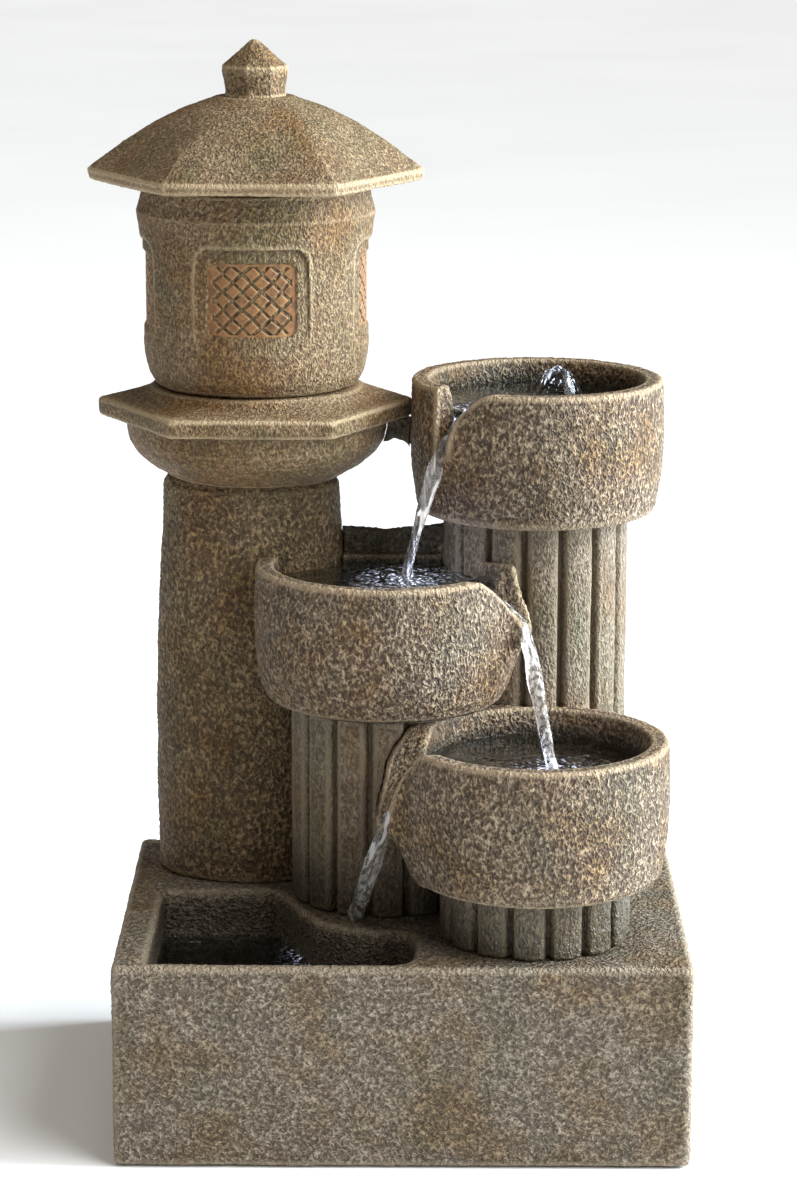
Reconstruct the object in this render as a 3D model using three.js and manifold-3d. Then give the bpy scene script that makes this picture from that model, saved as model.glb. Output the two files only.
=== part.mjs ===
// Tabletop water fountain: a cast stone-effect basin with a garden lantern on a post and three
// pouring bowls on reeded columns. A pump in the basin lifts the water to the top bowl.
// Millimetres. +X right, +Y back, +Z up. The origin is the centre of the base's underside.
import * as THREE from "three";
import { mergeVertices } from "three/addons/utils/BufferGeometryUtils.js";
import Module from "manifold-3d";

const wasm = await Module();
wasm.setup();

// ---- Driving dimensions
const GAP = 0.3; // left between pieces that are bonded or rest on each other
const BASE = { w: 220, d: 170, top: 80.2, bottom: 0.4, wall: 5, deck: 5, corner: 4 };
const PAD = 1.5; // thickness of the non-slip pad under the base
const FLOOR = 5; // thickness of the base's bottom plate
const POOL_SKIRT = { depth: 28, wall: 3.5 };
const LANTERN = { x: -59, y: 52 };
const POST = { x: -61.5, y: 52, deep: 0.82, wall: 6 }; // deep: depth over width of its oval
const TALL = { x: 52.8, y: 44.3, bottom: BASE.top, top: 230, groove: 14.7 };
const MID = { x: -7.5, y: 12.1, bottom: BASE.top, top: 160, groove: 14.7 };
const LOW = { x: 50.9, y: -40.6, bottom: BASE.top, top: 103.3, groove: 7 };
const COLUMN = { r: 37, bore: 30.5, ribs: 15, reed: 2.4, steps: 6 };
const BOWL = { wall: 8.5, floor: 8 };
// spout: bearing from the front, clockwise seen from above; weir and tip are heights of its channel
const TOP_BOWL = { r: 50.5, rim: 283.7, foot: 2.5, spout: -47, weir: 272, tip: 258.6, reach: 0 };
const MID_BOWL = { r: 51.5, rim: 214.9, foot: 7, spout: 70, weir: 206, tip: 193.5, reach: 5 };
const LOW_BOWL = { r: 51.7, rim: 158.2, foot: 4, spout: -70, weir: 146, tip: 127.5, reach: 6 };
const WEB = { y0: 51, y1: 58, top: 220 };
const PUMP = { y: 45, z: 29, half: 18, front: 36, face: 44, back: 86, cover: 24, well: 70.5 };
const SPIGOT = { x: 40.4, r: 4, bore: 2.8, top: 62 };
const OUTLET = { x: 61.5, y: 52 }; // where the water rises in the top bowl
const HOSE = { r: 6, bore: 4.4, overlap: 8 };
const DOOR = { half: 21, z0: 92, z1: 150, gap: 0.4, notch: 6 };
const GROMMET = { x: 90, z: 66, r: 6.5, flange: 8.5, bore: 5 };
const DRAIN = { x: -80, z: 14, r: 6 };
const LEAD = { pump: 2.1, led: 1.3 };
const LED = { r: 7, h: 5, lens: 2.4 };
const POST_TOP = 243;
const PLATFORM = { corner: 63.4, z0: 266.7, z1: 271.5, slopeTop: 276.4, seat: 279.6, bore: 27 };
const FIREBOX = { bottom: PLATFORM.seat + GAP, shoulder: 348.8, neck: 43, top: 363.6, wall: 6 };
const WINDOW = { z: 318.8, w: 43.2, h: 39.9, innerW: 34, innerH: 28.7, sink: 1.6, panel: 3.1 };
// The dome's corner line, as [radius, height] from the finial seat to the eaves.
const ROOF_LINE = [[17, 393.1], [28.6, 389.1], [41.1, 383.2], [52.7, 376.1], [61.6, 369.6],
  [68.1, 365.1]];
const ROOF = { eaves: 360.6, hollow: 44, thick: 6.5, peg: 5, pegDepth: 6 };
// where each light stands
const LED_PLACES = {
  middle: { x: 0, y: 14, z: MID.top + BOWL.floor + GAP },
  lower: { x: 55, y: -48, z: LOW.top + BOWL.floor + GAP },
  pool: { x: -30, y: -36, z: PAD + GAP + FLOOR + GAP },
};
const SHAFT = { r: 1, x0: 32, x1: 69.2 };
const ROTOR = { r: 6.6, x0: 46.5, x1: 66, blade: 9.5, blades: 4, hub: 3.4 };
const BUSH = { r: 4.5, bore: SHAFT.r + 0.3 };
const COIL = { x0: 73.4, x1: 84, wide: 8.6, high: 11 };
const PUMP_EXIT = { dy: 5, dz: 7 }; // where the lead leaves the motor, from the pump's axis
const CUP = { dx: [52, 80], dy: 11, r: 6.5 };
const COVER = { wall: 2.2, slots: 5, slot: 2.6, pitch: 5.4 };
const GLAND_IN = BASE.d / 2 - BASE.wall - 2; // how far each lead reaches into the grommet
const TURN = 36; // facets round a casting
const SMALL_TURN = 12; // facets round a small part

// ---- Solids from three.js geometries
function solidFrom(geometry) {
  const loose = geometry.index ? geometry.toNonIndexed() : geometry;
  const bare = new THREE.BufferGeometry().setAttribute("position", loose.getAttribute("position"));
  const merged = mergeVertices(bare, 1e-4);
  const kept = [];
  for (let i = 0; i < merged.index.count; i += 3) {
    const [a, b, c] = merged.index.array.slice(i, i + 3);
    if (a !== b && b !== c && c !== a) kept.push([a, b, c]);
  }
  const build = (faces) =>
    new wasm.Manifold(
      new wasm.Mesh({
        numProp: 3,
        vertProperties: merged.attributes.position.array,
        triVerts: new Uint32Array(faces.flat()),
      }),
    );
  const made = build(kept);
  return made.volume() > 0 ? made : build(kept.map(([a, b, c]) => [a, c, b]));
}

const union = (...solids) => solids.reduce((all, one) => all.add(one));
const cut = (solid, ...tools) => tools.reduce((left, tool) => left.subtract(tool), solid);

// A closed outline in x and y, raised from z0 to z1.
function prism(shape, z0, z1) {
  const geometry = new THREE.ExtrudeGeometry(shape, { depth: z1 - z0, bevelEnabled: false });
  return solidFrom(geometry.translate(0, 0, z0));
}

// An outline in y and z, run along x.
function prismX(shape, x0, x1) {
  const geometry = new THREE.ExtrudeGeometry(shape, { depth: x1 - x0, bevelEnabled: false });
  const turn = new THREE.Matrix4().makeBasis(
    new THREE.Vector3(0, 1, 0),
    new THREE.Vector3(0, 0, 1),
    new THREE.Vector3(1, 0, 0),
  );
  return solidFrom(geometry.applyMatrix4(turn).translate(x0, 0, 0));
}

// An outline in x and z, run along y.
function prismY(shape, y0, y1) {
  const geometry = new THREE.ExtrudeGeometry(shape, { depth: y1 - y0, bevelEnabled: false });
  return solidFrom(geometry.rotateX(Math.PI / 2).translate(0, y1, 0));
}

function box(x0, x1, y0, y1, z0, z1) {
  const geometry = new THREE.BoxGeometry(x1 - x0, y1 - y0, z1 - z0);
  return solidFrom(geometry.translate((x0 + x1) / 2, (y0 + y1) / 2, (z0 + z1) / 2));
}

// A profile of [radius, height] pairs turned about a vertical axis.
function turned(profile, x, y, facets = TURN) {
  const points = profile.map(([r, z]) => new THREE.Vector2(r, z));
  const geometry = new THREE.LatheGeometry(points, facets).rotateX(Math.PI / 2);
  return solidFrom(geometry.translate(x, y, 0));
}

// The same about an axis along +X (the profile's heights become x) or along +Y.
function turnedX(profile, y, z, facets = SMALL_TURN) {
  const points = profile.map(([r, x]) => new THREE.Vector2(r, x));
  const geometry = new THREE.LatheGeometry(points, facets).rotateZ(-Math.PI / 2);
  return solidFrom(geometry.translate(0, y, z));
}

function turnedY(profile, x, z, facets = SMALL_TURN) {
  const points = profile.map(([r, y]) => new THREE.Vector2(r, y));
  return solidFrom(new THREE.LatheGeometry(points, facets).translate(x, 0, z));
}

const rod = (r, z0, z1, x, y, facets = SMALL_TURN) =>
  turned([[0, z0], [r, z0], [r, z1], [0, z1]], x, y, facets);

function rectangle(x0, x1, y0, y1, corner) {
  const shape = new THREE.Shape();
  shape.moveTo(x0 + corner, y0);
  shape.lineTo(x1 - corner, y0).absarc(x1 - corner, y0 + corner, corner, -Math.PI / 2, 0);
  shape.lineTo(x1, y1 - corner).absarc(x1 - corner, y1 - corner, corner, 0, Math.PI / 2);
  shape.lineTo(x0 + corner, y1).absarc(x0 + corner, y1 - corner, corner, Math.PI / 2, Math.PI);
  shape.lineTo(x0, y0 + corner).absarc(x0 + corner, y0 + corner, corner, Math.PI, 1.5 * Math.PI);
  return new THREE.Shape(shape.getPoints(3));
}

// A tube or rod along a smooth route. A bore makes it hollow.
function along(points, r, sides, steps, bore = 0) {
  const shape = new THREE.Shape().absarc(0, 0, r, 0, 2 * Math.PI);
  const ring = new THREE.Shape(shape.getSpacedPoints(sides).slice(0, sides));
  if (bore) {
    const hole = new THREE.Path().absarc(0, 0, bore, 0, 2 * Math.PI);
    ring.holes.push(new THREE.Path(hole.getSpacedPoints(sides).slice(0, sides)));
  }
  const route = new THREE.CatmullRomCurve3(points.map((p) => new THREE.Vector3(...p)));
  return solidFrom(new THREE.ExtrudeGeometry(ring, { steps, extrudePath: route }));
}

// ---- Materials
const finish = (color, roughness, metalness = 0) =>
  new THREE.MeshStandardMaterial({ color, roughness, metalness });
const STONE = () => finish(0x8a7a66, 0.88);
const LANTERN_STONE = () => finish(0x96835f, 0.88);
const DARK_STONE = () => finish(0x4c443a, 0.9);
const PUMP_PLASTIC = () => finish(0x20242a, 0.45);
const RUBBER = () => finish(0x1d1d1d, 0.75);
const CLEAR_PLASTIC = () => finish(0xdfe8ee, 0.12);
const STEEL = () => finish(0x9fa3a8, 0.35, 1);
const COPPER = () => finish(0xb0683a, 0.35, 1);
const CERAMIC = () => finish(0xf2efe6, 0.25);
const EPOXY = () => finish(0x2b2622, 0.3);
const FELT = () => finish(0x33352f, 0.95);

const fountain = new THREE.Group();
fountain.name = "tabletop_fountain";

function addPart(name, solid, material) {
  const { vertProperties, triVerts, numProp } = solid.getMesh();
  const geometry = new THREE.BufferGeometry();
  const count = vertProperties.length / numProp;
  const position = new Float32Array(count * 3);
  for (let i = 0; i < count; i++) {
    position.set(vertProperties.subarray(i * numProp, i * numProp + 3), i * 3);
  }
  geometry.setAttribute("position", new THREE.BufferAttribute(position, 3));
  geometry.setIndex(new THREE.BufferAttribute(triVerts, 1));
  geometry.computeVertexNormals();
  const mesh = new THREE.Mesh(geometry, material);
  mesh.name = name;
  fountain.add(mesh);
}

// ---- Reeded columns
// The outline of a column: convex reeds between narrow grooves, a groove at its own bearing.
function reededShape(column, grow = 0, bore = 0) {
  const count = COLUMN.ribs * COLUMN.steps;
  const points = [];
  for (let i = 0; i < count; i++) {
    const turn = (i / count) * 2 * Math.PI;
    const crest = Math.abs(Math.sin((COLUMN.ribs * turn) / 2)) ** 0.6;
    const r = COLUMN.r + grow - COLUMN.reed * (1 - crest);
    const angle = turn - Math.PI / 2 + THREE.MathUtils.degToRad(column.groove);
    points.push(new THREE.Vector2(column.x + r * Math.cos(angle), column.y + r * Math.sin(angle)));
  }
  const shape = new THREE.Shape(points);
  if (bore) {
    const hole = new THREE.Path().absarc(column.x, column.y, bore, 0, 2 * Math.PI);
    shape.holes.push(new THREE.Path(hole.getSpacedPoints(TURN).slice(0, TURN)));
  }
  return shape;
}

const columnSpace = (column) => rod(COLUMN.r + GAP, 0, column.top, column.x, column.y, TURN);

// ---- Bowls
function bowlOuter(bowl, centre) {
  const { r, rim, foot } = bowl;
  const z = centre.top + GAP;
  const profile = [
    [0, z],
    [r - 3.5 - foot, z],
    [r - 3.2 - foot * 0.3, z + foot * 0.3],
    [r - 2.8, z + foot],
    [r - 0.6, z + 18],
    [r, z + 32],
    [r - 0.7, rim - 8],
    [r - 1.6, rim - 1.2],
    [r - 3, rim],
    [0, rim],
  ];
  return turned(profile, centre.x, centre.y);
}

function bowlHollow(bowl, centre) {
  const inner = bowl.r - BOWL.wall;
  const z = centre.top + BOWL.floor;
  const profile = [
    [0, z],
    [inner - 14, z],
    [inner - 5, z + 3],
    [inner - 0.6, z + 11],
    [inner, bowl.rim - 3],
    [inner + 1.6, bowl.rim + 1],
    [0, bowl.rim + 1],
  ];
  return turned(profile, centre.x, centre.y);
}

// A length of spout section, run out from the bowl's centre and sheared down to its tip.
function spoutRun(section, from, to, zFrom, zTo, centre, bearing) {
  const geometry = new THREE.ExtrudeGeometry(section, { depth: to - from, bevelEnabled: false });
  const slope = (zTo - zFrom) / (to - from);
  const outward = new THREE.Matrix4().makeBasis(
    new THREE.Vector3(0, 1, 0),
    new THREE.Vector3(0, 0, 1),
    new THREE.Vector3(1, 0, slope),
  );
  const turn = THREE.MathUtils.degToRad(bearing) - Math.PI / 2;
  geometry.applyMatrix4(outward).translate(from, 0, zFrom).rotateZ(turn);
  return solidFrom(geometry.translate(centre.x, centre.y, 0));
}

// The V of the channel, with curved cheeks, open at the top.
function channelSection(halfWidth, height) {
  const shape = new THREE.Shape();
  shape.moveTo(-3, 0);
  shape.lineTo(3, 0);
  shape.quadraticCurveTo(halfWidth * 0.55, height * 0.35, halfWidth, height);
  shape.lineTo(-halfWidth, height);
  shape.quadraticCurveTo(-halfWidth * 0.55, height * 0.35, -3, 0);
  return new THREE.Shape(shape.getPoints(4));
}

function chinSection(halfWidth, height) {
  const shape = new THREE.Shape();
  shape.moveTo(-halfWidth, height);
  shape.bezierCurveTo(-halfWidth, -6, -5, -7, 0, -7);
  shape.bezierCurveTo(5, -7, halfWidth, -6, halfWidth, height);
  return new THREE.Shape(shape.getPoints(5));
}

function spoutChannel(bowl, centre) {
  const height = bowl.rim - bowl.tip + 16;
  const from = bowl.r - BOWL.wall - 4;
  const to = bowl.r + bowl.reach + 4;
  const section = channelSection(21, height);
  return spoutRun(section, from, to, bowl.weir, bowl.tip - 1.5, centre, bowl.spout);
}

function spoutChin(bowl, centre) {
  const section = chinSection(10, 8);
  const from = bowl.r - 14;
  return spoutRun(section, from, bowl.r + bowl.reach, bowl.weir - 2, bowl.tip, centre, bowl.spout);
}

// ---- Base
function poolOutline() {
  const shape = new THREE.Shape();
  const front = -79;
  shape.moveTo(-97, front);
  shape.lineTo(-3, front);
  shape.quadraticCurveTo(4.6, -74, 5, -56);
  shape.quadraticCurveTo(5, -41, -3, -39.5);
  shape.splineThru([[-12, -40], [-23, -36.4], [-34, -27.7], [-44.9, -0.8], [-52.6, 12.4]].map(
    ([x, y]) => new THREE.Vector2(x, y),
  ));
  shape.lineTo(-96, 10.5);
  return shape.getPoints(3);
}

// Moves each corner of a closed outline outwards along the mean of its sides' normals.
function widened(points, by) {
  const count = points.length;
  return points.map((point, i) => {
    const before = points[(i + count - 1) % count];
    const after = points[(i + 1) % count];
    const along = after.clone().sub(before).normalize();
    return new THREE.Vector2(point.x + along.y * by, point.y - along.x * by);
  });
}

function withoutRepeats(points) {
  return points.filter((p, i) => p.distanceTo(points[(i + 1) % points.length]) > 0.01);
}

function makeBase() {
  const { w, d, top, bottom, wall, deck, corner } = BASE;
  const outside = prism(rectangle(-w / 2, w / 2, -d / 2, d / 2, corner), bottom, top);
  const inside = rectangle(-w / 2 + wall, w / 2 - wall, -d / 2 + wall, d / 2 - wall, 2);
  const hollow = prism(inside, bottom - 1, top - deck);
  const pool = withoutRepeats(poolOutline());
  const skirtZ = top - POOL_SKIRT.depth;
  const skirt = prism(new THREE.Shape(widened(pool, POOL_SKIRT.wall)), skirtZ, top - 1);
  const room = prism(rectangle(-w / 2 + 2, w / 2 - 2, -d / 2 + 2, d / 2 - 2, 2), bottom, top - 0.5);
  const poolSpace = prism(new THREE.Shape(pool), skirtZ - 1, top + 1);
  const pumpHatch = rod(COLUMN.bore - 2, top - deck - 1, top + 1, TALL.x, TALL.y, TURN);
  const leadHoles = [MID, LOW].map((c) => rod(7, top - deck - 1, top + 1, c.x, c.y));
  const grommetHole = turnedY([[0, d / 2 - wall - 1], [GROMMET.r + GAP, d / 2 - wall - 1],
    [GROMMET.r + GAP, d / 2 + 1], [0, d / 2 + 1]], GROMMET.x, GROMMET.z);
  const drainHole = turnedY([[0, d / 2 - wall - 1], [DRAIN.r + GAP, d / 2 - wall - 1],
    [DRAIN.r + GAP, d / 2 + 1], [0, d / 2 + 1]], DRAIN.x, DRAIN.z);
  const shell = union(cut(outside, hollow), skirt.intersect(room));
  addPart(
    "base_shell",
    cut(shell, poolSpace, pumpHatch, ...leadHoles, grommetHole, drainHole),
    STONE(),
  );

  const fit = wall + GAP;
  const plate = rectangle(-w / 2 + fit, w / 2 - fit, -d / 2 + fit, d / 2 - fit, 2);
  addPart("base_floor", prism(plate, PAD + GAP, PAD + GAP + FLOOR), DARK_STONE());
  const pad = rectangle(-w / 2 + fit + 2, w / 2 - fit - 2, -d / 2 + fit + 2, d / 2 - fit - 2, 6);
  addPart("base_pad", prism(pad, 0, PAD), FELT());

  const back = d / 2;
  const plug = [[0, back - wall - 2], [DRAIN.r - 1, back - wall - 2], [DRAIN.r, back - wall],
    [DRAIN.r, back + GAP], [DRAIN.r + 3, back + GAP], [DRAIN.r + 3, back + 2], [3, back + 2.4],
    [3, back + 6], [4.5, back + 7], [4.5, back + 8.5], [0, back + 8.5]];
  addPart("drain_plug", turnedY(plug, DRAIN.x, DRAIN.z), RUBBER());

  const { flange, bore, r } = GROMMET;
  const ring = [[bore, back - wall - 4], [flange, back - wall - 3.6], [flange, back - wall - GAP],
    [r, back - wall - GAP], [r, back + GAP], [flange, back + GAP], [flange, back + 2.6],
    [bore + 1, back + 3.4], [bore, back + 3]];
  addPart("cable_grommet", turnedY([...ring, ring[0]], GROMMET.x, GROMMET.z), RUBBER());
}

// ---- Lantern
// The radius of a hexagon with a corner on +X, as a share of its corner radius.
function hexFactor(angle) {
  const sixth = Math.PI / 3;
  const within = (((angle % sixth) + sixth) % sixth) - sixth / 2;
  return Math.cos(sixth / 2) / Math.cos(within);
}

const postProfile = (grow, z0, z1) => [
  [0, z0],
  [38.6 + grow, z0],
  [38.9 + grow, 105],
  [39 + grow, 146],
  [38 + grow, 188],
  [35.9 + grow, 228],
  [35.4 + grow, z1],
  [0, z1],
];

function postSolid(grow, z0, z1) {
  const points = postProfile(grow, z0, z1).map(([r, z]) => new THREE.Vector2(r, z));
  const geometry = new THREE.LatheGeometry(points, TURN).rotateX(Math.PI / 2);
  geometry.scale(1, POST.deep, 1).translate(POST.x, POST.y, 0);
  return solidFrom(geometry);
}

function hexPrism(rTop, rBottom, z0, z1) {
  const geometry = new THREE.CylinderGeometry(rTop, rBottom, z1 - z0, 6);
  geometry.rotateX(Math.PI / 2).rotateZ(Math.PI / 6);
  return solidFrom(geometry.translate(LANTERN.x, LANTERN.y, (z0 + z1) / 2));
}

function platformSolid(grow = 0) {
  const { corner, z0, z1, slopeTop, seat } = PLATFORM;
  const bell = turned(
    [[0, POST_TOP + GAP], [34.6 + grow, POST_TOP + GAP], [37, POST_TOP + 2.2], [42 + grow, 248],
      [47.8 + grow, 253], [51 + grow, 258], [52 + grow, 262.5], [52 + grow, z0 + 1], [0, z0 + 1]],
    LANTERN.x,
    LANTERN.y,
  );
  const slab = hexPrism(corner + grow, corner + grow, z0 - grow, z1);
  const slope = hexPrism(46, corner - 1.2, z1 - 0.01, slopeTop + grow);
  const ring = turned([[0, z1], [45.4, z1], [44.6, slopeTop], [42.6, seat - 0.6], [41, seat],
    [0, seat]], LANTERN.x, LANTERN.y);
  return union(bell, slab, slope, ring);
}

function makePlatform() {
  const bore = rod(PLATFORM.bore, POST_TOP - 5, PLATFORM.seat + 5, LANTERN.x, LANTERN.y, TURN);
  const bowlSpace = rod(TOP_BOWL.r + GAP, 220, 300, TALL.x, TALL.y, TURN);
  addPart("lantern_platform", cut(platformSolid(), bore, bowlSpace), LANTERN_STONE());
}

function makePost() {
  const room = new THREE.LatheGeometry(
    [[0, BASE.top - 1], [39 - POST.wall, BASE.top - 1], [35.4 - POST.wall, POST_TOP + 1],
      [0, POST_TOP + 1]].map(([r, z]) => new THREE.Vector2(r, z)),
    TURN,
  );
  room.rotateX(Math.PI / 2).scale(1, POST.deep, 1).translate(POST.x, POST.y, 0);
  addPart("lantern_post", cut(postSolid(0, BASE.top + GAP, POST_TOP), solidFrom(room)), STONE());
}

// A rounded pane run outwards, less the core that it leaves standing.
function windowCut(width, height, sink, side) {
  const { z } = WINDOW;
  const pane = rectangle(-width / 2, width / 2, z - height / 2, z + height / 2, 5);
  const run = prismY(pane, -60, -30);
  const core = rod(45.3 - sink, z - 40, z + 40, 0, 0, TURN);
  return cut(run, core).rotate([0, 0, side * 90]).translate([LANTERN.x, LANTERN.y, 0]);
}

function makeFirebox() {
  const { bottom, shoulder, neck, top, wall } = FIREBOX;
  const outer = turned(
    [[0, bottom], [38.5, bottom], [40.4, bottom + 1.2], [42.8, 285.4], [44.3, 292], [45, 300],
      [45.6, 334], [46.4, 343], [47.7, shoulder], [44.6, 353.6], [neck, 356], [neck, top], [0, top]],
    LANTERN.x,
    LANTERN.y,
  );
  const hollow = turned(
    [[0, bottom - 1], [36, bottom - 1], [38.5, 292], [39.4, 334], [39.6, 346], [36, top - wall],
      [0, top - wall]],
    LANTERN.x,
    LANTERN.y,
    24,
  );
  const windows = [0, 1, 2, 3].flatMap((side) => [
    windowCut(WINDOW.w, WINDOW.h, WINDOW.sink, side),
    windowCut(WINDOW.innerW, WINDOW.innerH, WINDOW.panel, side),
  ]);
  addPart("lantern_firebox", cut(outer, hollow, ...windows), LANTERN_STONE());
}

// Turned, then pressed from round at the top to a hexagon at the eaves.
function hexDome(profile, hexFrom, hexTo) {
  const points = profile.map(([r, z]) => new THREE.Vector2(r, z));
  const geometry = new THREE.LatheGeometry(points, TURN).rotateX(Math.PI / 2);
  const position = geometry.getAttribute("position");
  for (let i = 0; i < position.count; i++) {
    const x = position.getX(i);
    const y = position.getY(i);
    const share = THREE.MathUtils.smoothstep(Math.hypot(x, y), hexFrom, hexTo);
    const factor = 1 + (hexFactor(Math.atan2(y, x)) - 1) * share;
    position.setXY(i, x * factor, y * factor);
  }
  return solidFrom(geometry.translate(LANTERN.x, LANTERN.y, 0));
}

function makeRoof() {
  const { eaves, hollow, thick, peg, pegDepth } = ROOF;
  const [topR, topZ] = ROOF_LINE[0];
  const outer = hexDome([[0, topZ], ...ROOF_LINE, [67, eaves], [0, eaves]], topR, 62);
  const room = turned(
    [[0, eaves - 1], [hollow, eaves - 1], [hollow, 370], [38, 376 - thick + 4], [26, 388 - thick],
      [0, 390 - thick]],
    LANTERN.x,
    LANTERN.y,
    24,
  );
  const socket = rod(peg + GAP, topZ - pegDepth - GAP, topZ + 1, LANTERN.x, LANTERN.y);
  const boss = rod(peg + 5, topZ - pegDepth - 5, topZ - 1, LANTERN.x, LANTERN.y);
  addPart("lantern_roof", cut(union(cut(outer, room), boss), socket), LANTERN_STONE());

  const seat = topZ + GAP;
  const finial = [[0, topZ - pegDepth], [peg, topZ - pegDepth], [peg, seat], [12.4, seat],
    [11.8, 395.4], [12.1, 398], [13.1, 404.2], [12.9, 405.4], [6.4, 411], [1.6, 415.4], [0, 415.8]];
  addPart("lantern_finial", turned(finial, LANTERN.x, LANTERN.y, 24), LANTERN_STONE());
}

// ---- Columns and bowls
function webShape() {
  const shape = new THREE.Shape();
  shape.moveTo(-40, BASE.top + GAP);
  shape.lineTo(30, BASE.top + GAP);
  shape.lineTo(30, WEB.top + 3);
  shape.quadraticCurveTo(-8, WEB.top - 1, -26, WEB.top);
  shape.lineTo(-40, WEB.top + 8);
  return new THREE.Shape(shape.getPoints(4));
}

function makeWebs() {
  const web = prismY(webShape(), WEB.y0, WEB.y1);
  const post = postSolid(GAP, 0, 300);
  const tall = rod(COLUMN.r + GAP, 0, 300, TALL.x, TALL.y, TURN);
  const mid = rod(COLUMN.r + GAP, 0, MID.top + 1, MID.x, MID.y, TURN);
  addPart("back_web", cut(web, post, tall, mid), DARK_STONE());

  const link = new THREE.Shape();
  link.moveTo(-14, 268);
  link.lineTo(-11, 255.5);
  link.lineTo(-3.8, 258);
  link.quadraticCurveTo(1, 257, 3.4, 253);
  link.lineTo(9, 250);
  link.lineTo(9, 273);
  link.lineTo(-2, 271);
  const bowl = rod(TOP_BOWL.r + GAP, 220, 300, TALL.x, TALL.y, TURN);
  const bar = prismY(new THREE.Shape(link.getPoints(4)), 46, 54);
  addPart("platform_link", cut(bar, platformSolid(GAP), bowl), DARK_STONE());
}

function makeColumns() {
  const doorRoom = (grow) =>
    box(TALL.x - DOOR.half - grow, TALL.x + DOOR.half + grow, TALL.y + 15, TALL.y + 60,
      DOOR.z0 - grow, DOOR.z1 + grow);
  const tube = (c) => prism(reededShape(c, 0, COLUMN.bore), c.bottom + GAP, c.top);
  const tall = tube(TALL);
  const notch = rod(DOOR.notch, DOOR.z1 - 3, DOOR.z1 + 1, TALL.x, TALL.y + COLUMN.r);
  addPart("tall_column", cut(tall, doorRoom(DOOR.gap)), STONE());
  addPart("access_door", cut(tall.intersect(doorRoom(0)), notch), STONE());
  addPart("middle_column", cut(tube(MID), columnSpace(TALL), postSolid(GAP, 0, 300)), STONE());
  addPart("lower_column", tube(LOW), STONE());
}

// The broad sloping shoulder that carries the lower bowl's rim back to the middle column.
function shoulderSolid() {
  const plan = new THREE.Shape();
  plan.moveTo(44, -8);
  plan.lineTo(44, 12);
  plan.lineTo(20, 0);
  plan.lineTo(0, -18);
  plan.lineTo(-5, -26);
  plan.quadraticCurveTo(-10, -36, -8, -46);
  plan.lineTo(6, -56);
  plan.lineTo(14, -40);
  const block = prism(new THREE.Shape(plan.getPoints(3)), 118, 160);
  const slope = new THREE.Shape();
  slope.moveTo(-20, 170);
  slope.lineTo(-20, 126);
  slope.lineTo(-6, 135);
  slope.lineTo(6, 149);
  slope.lineTo(24, 156.5);
  slope.lineTo(60, 157.5);
  slope.lineTo(60, 170);
  const under = new THREE.Shape();
  under.moveTo(-20, 100);
  under.lineTo(20, 100);
  under.lineTo(10, 128);
  under.lineTo(-12, 124);
  return cut(block, prismY(slope, -60, 20), prismY(under, -60, 20));
}

function makeBowls() {
  const outletHole = rod(SPIGOT.r + GAP, 200, 260, OUTLET.x, OUTLET.y);
  const top = cut(
    bowlOuter(TOP_BOWL, TALL),
    bowlHollow(TOP_BOWL, TALL),
    spoutChannel(TOP_BOWL, TALL),
    outletHole,
  );
  addPart("top_bowl", top, STONE());

  const ledHole = ({ x, y }) => rod(LEAD.led + 0.6, 90, 200, x, y, 12);
  const post = postSolid(GAP, 0, 300);
  const tallSpace = rod(COLUMN.r + GAP, 0, 300, TALL.x, TALL.y, TURN);
  const webSpace = prism(rectangle(-80, 60, WEB.y0 - GAP, 90, 0.01), 100, 300);
  const mid = cut(
    union(bowlOuter(MID_BOWL, MID), spoutChin(MID_BOWL, MID)),
    bowlHollow(MID_BOWL, MID),
    spoutChannel(MID_BOWL, MID),
    post,
    tallSpace,
    webSpace,
    ledHole(LED_PLACES.middle),
  );
  addPart("middle_bowl", largest(mid), STONE());

  const midSpace = rod(COLUMN.r + GAP, 0, MID.top + 1, MID.x, MID.y, TURN);
  const low = cut(
    union(bowlOuter(LOW_BOWL, LOW), spoutChin(LOW_BOWL, LOW), shoulderSolid()),
    bowlHollow(LOW_BOWL, LOW),
    spoutChannel(LOW_BOWL, LOW),
    midSpace,
    tallSpace,
    ledHole(LED_PLACES.lower),
  );
  addPart("lower_bowl", largest(low), STONE());
}

function largest(solid) {
  return solid.decompose().sort((a, b) => b.volume() - a.volume())[0];
}

// ---- Lights
function makeLights() {
  for (const [name, { x, y, z }] of Object.entries(LED_PLACES)) {
    const seat = z + LED.h;
    const body = turned([[0, z], [LED.r - 0.6, z], [LED.r, z + 0.6], [LED.r, seat], [LED.r - 1, seat],
      [LED.r - 1, seat - 1.5], [0, seat - 1.5]], x, y, SMALL_TURN);
    addPart(`led_${name}_housing`, body, PUMP_PLASTIC());
    const base = seat - 1.5 + GAP;
    const lens = [[0, base], [LED.r - 1 - GAP, base], [LED.r - 1 - GAP, seat],
      [LED.r - 3, base + LED.lens], [0, base + LED.lens + 0.4]];
    addPart(`led_${name}_lens`, turned(lens, x, y, SMALL_TURN), CLEAR_PLASTIC());
  }
}

// ---- Leads and hose
// The last stretch of each lead, straight into its own place in the grommet.
const intoGland = (dx, dz) => [
  [GROMMET.x + dx, GLAND_IN - 8, GROMMET.z + dz],
  [GROMMET.x + dx, GLAND_IN, GROMMET.z + dz],
];

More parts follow.
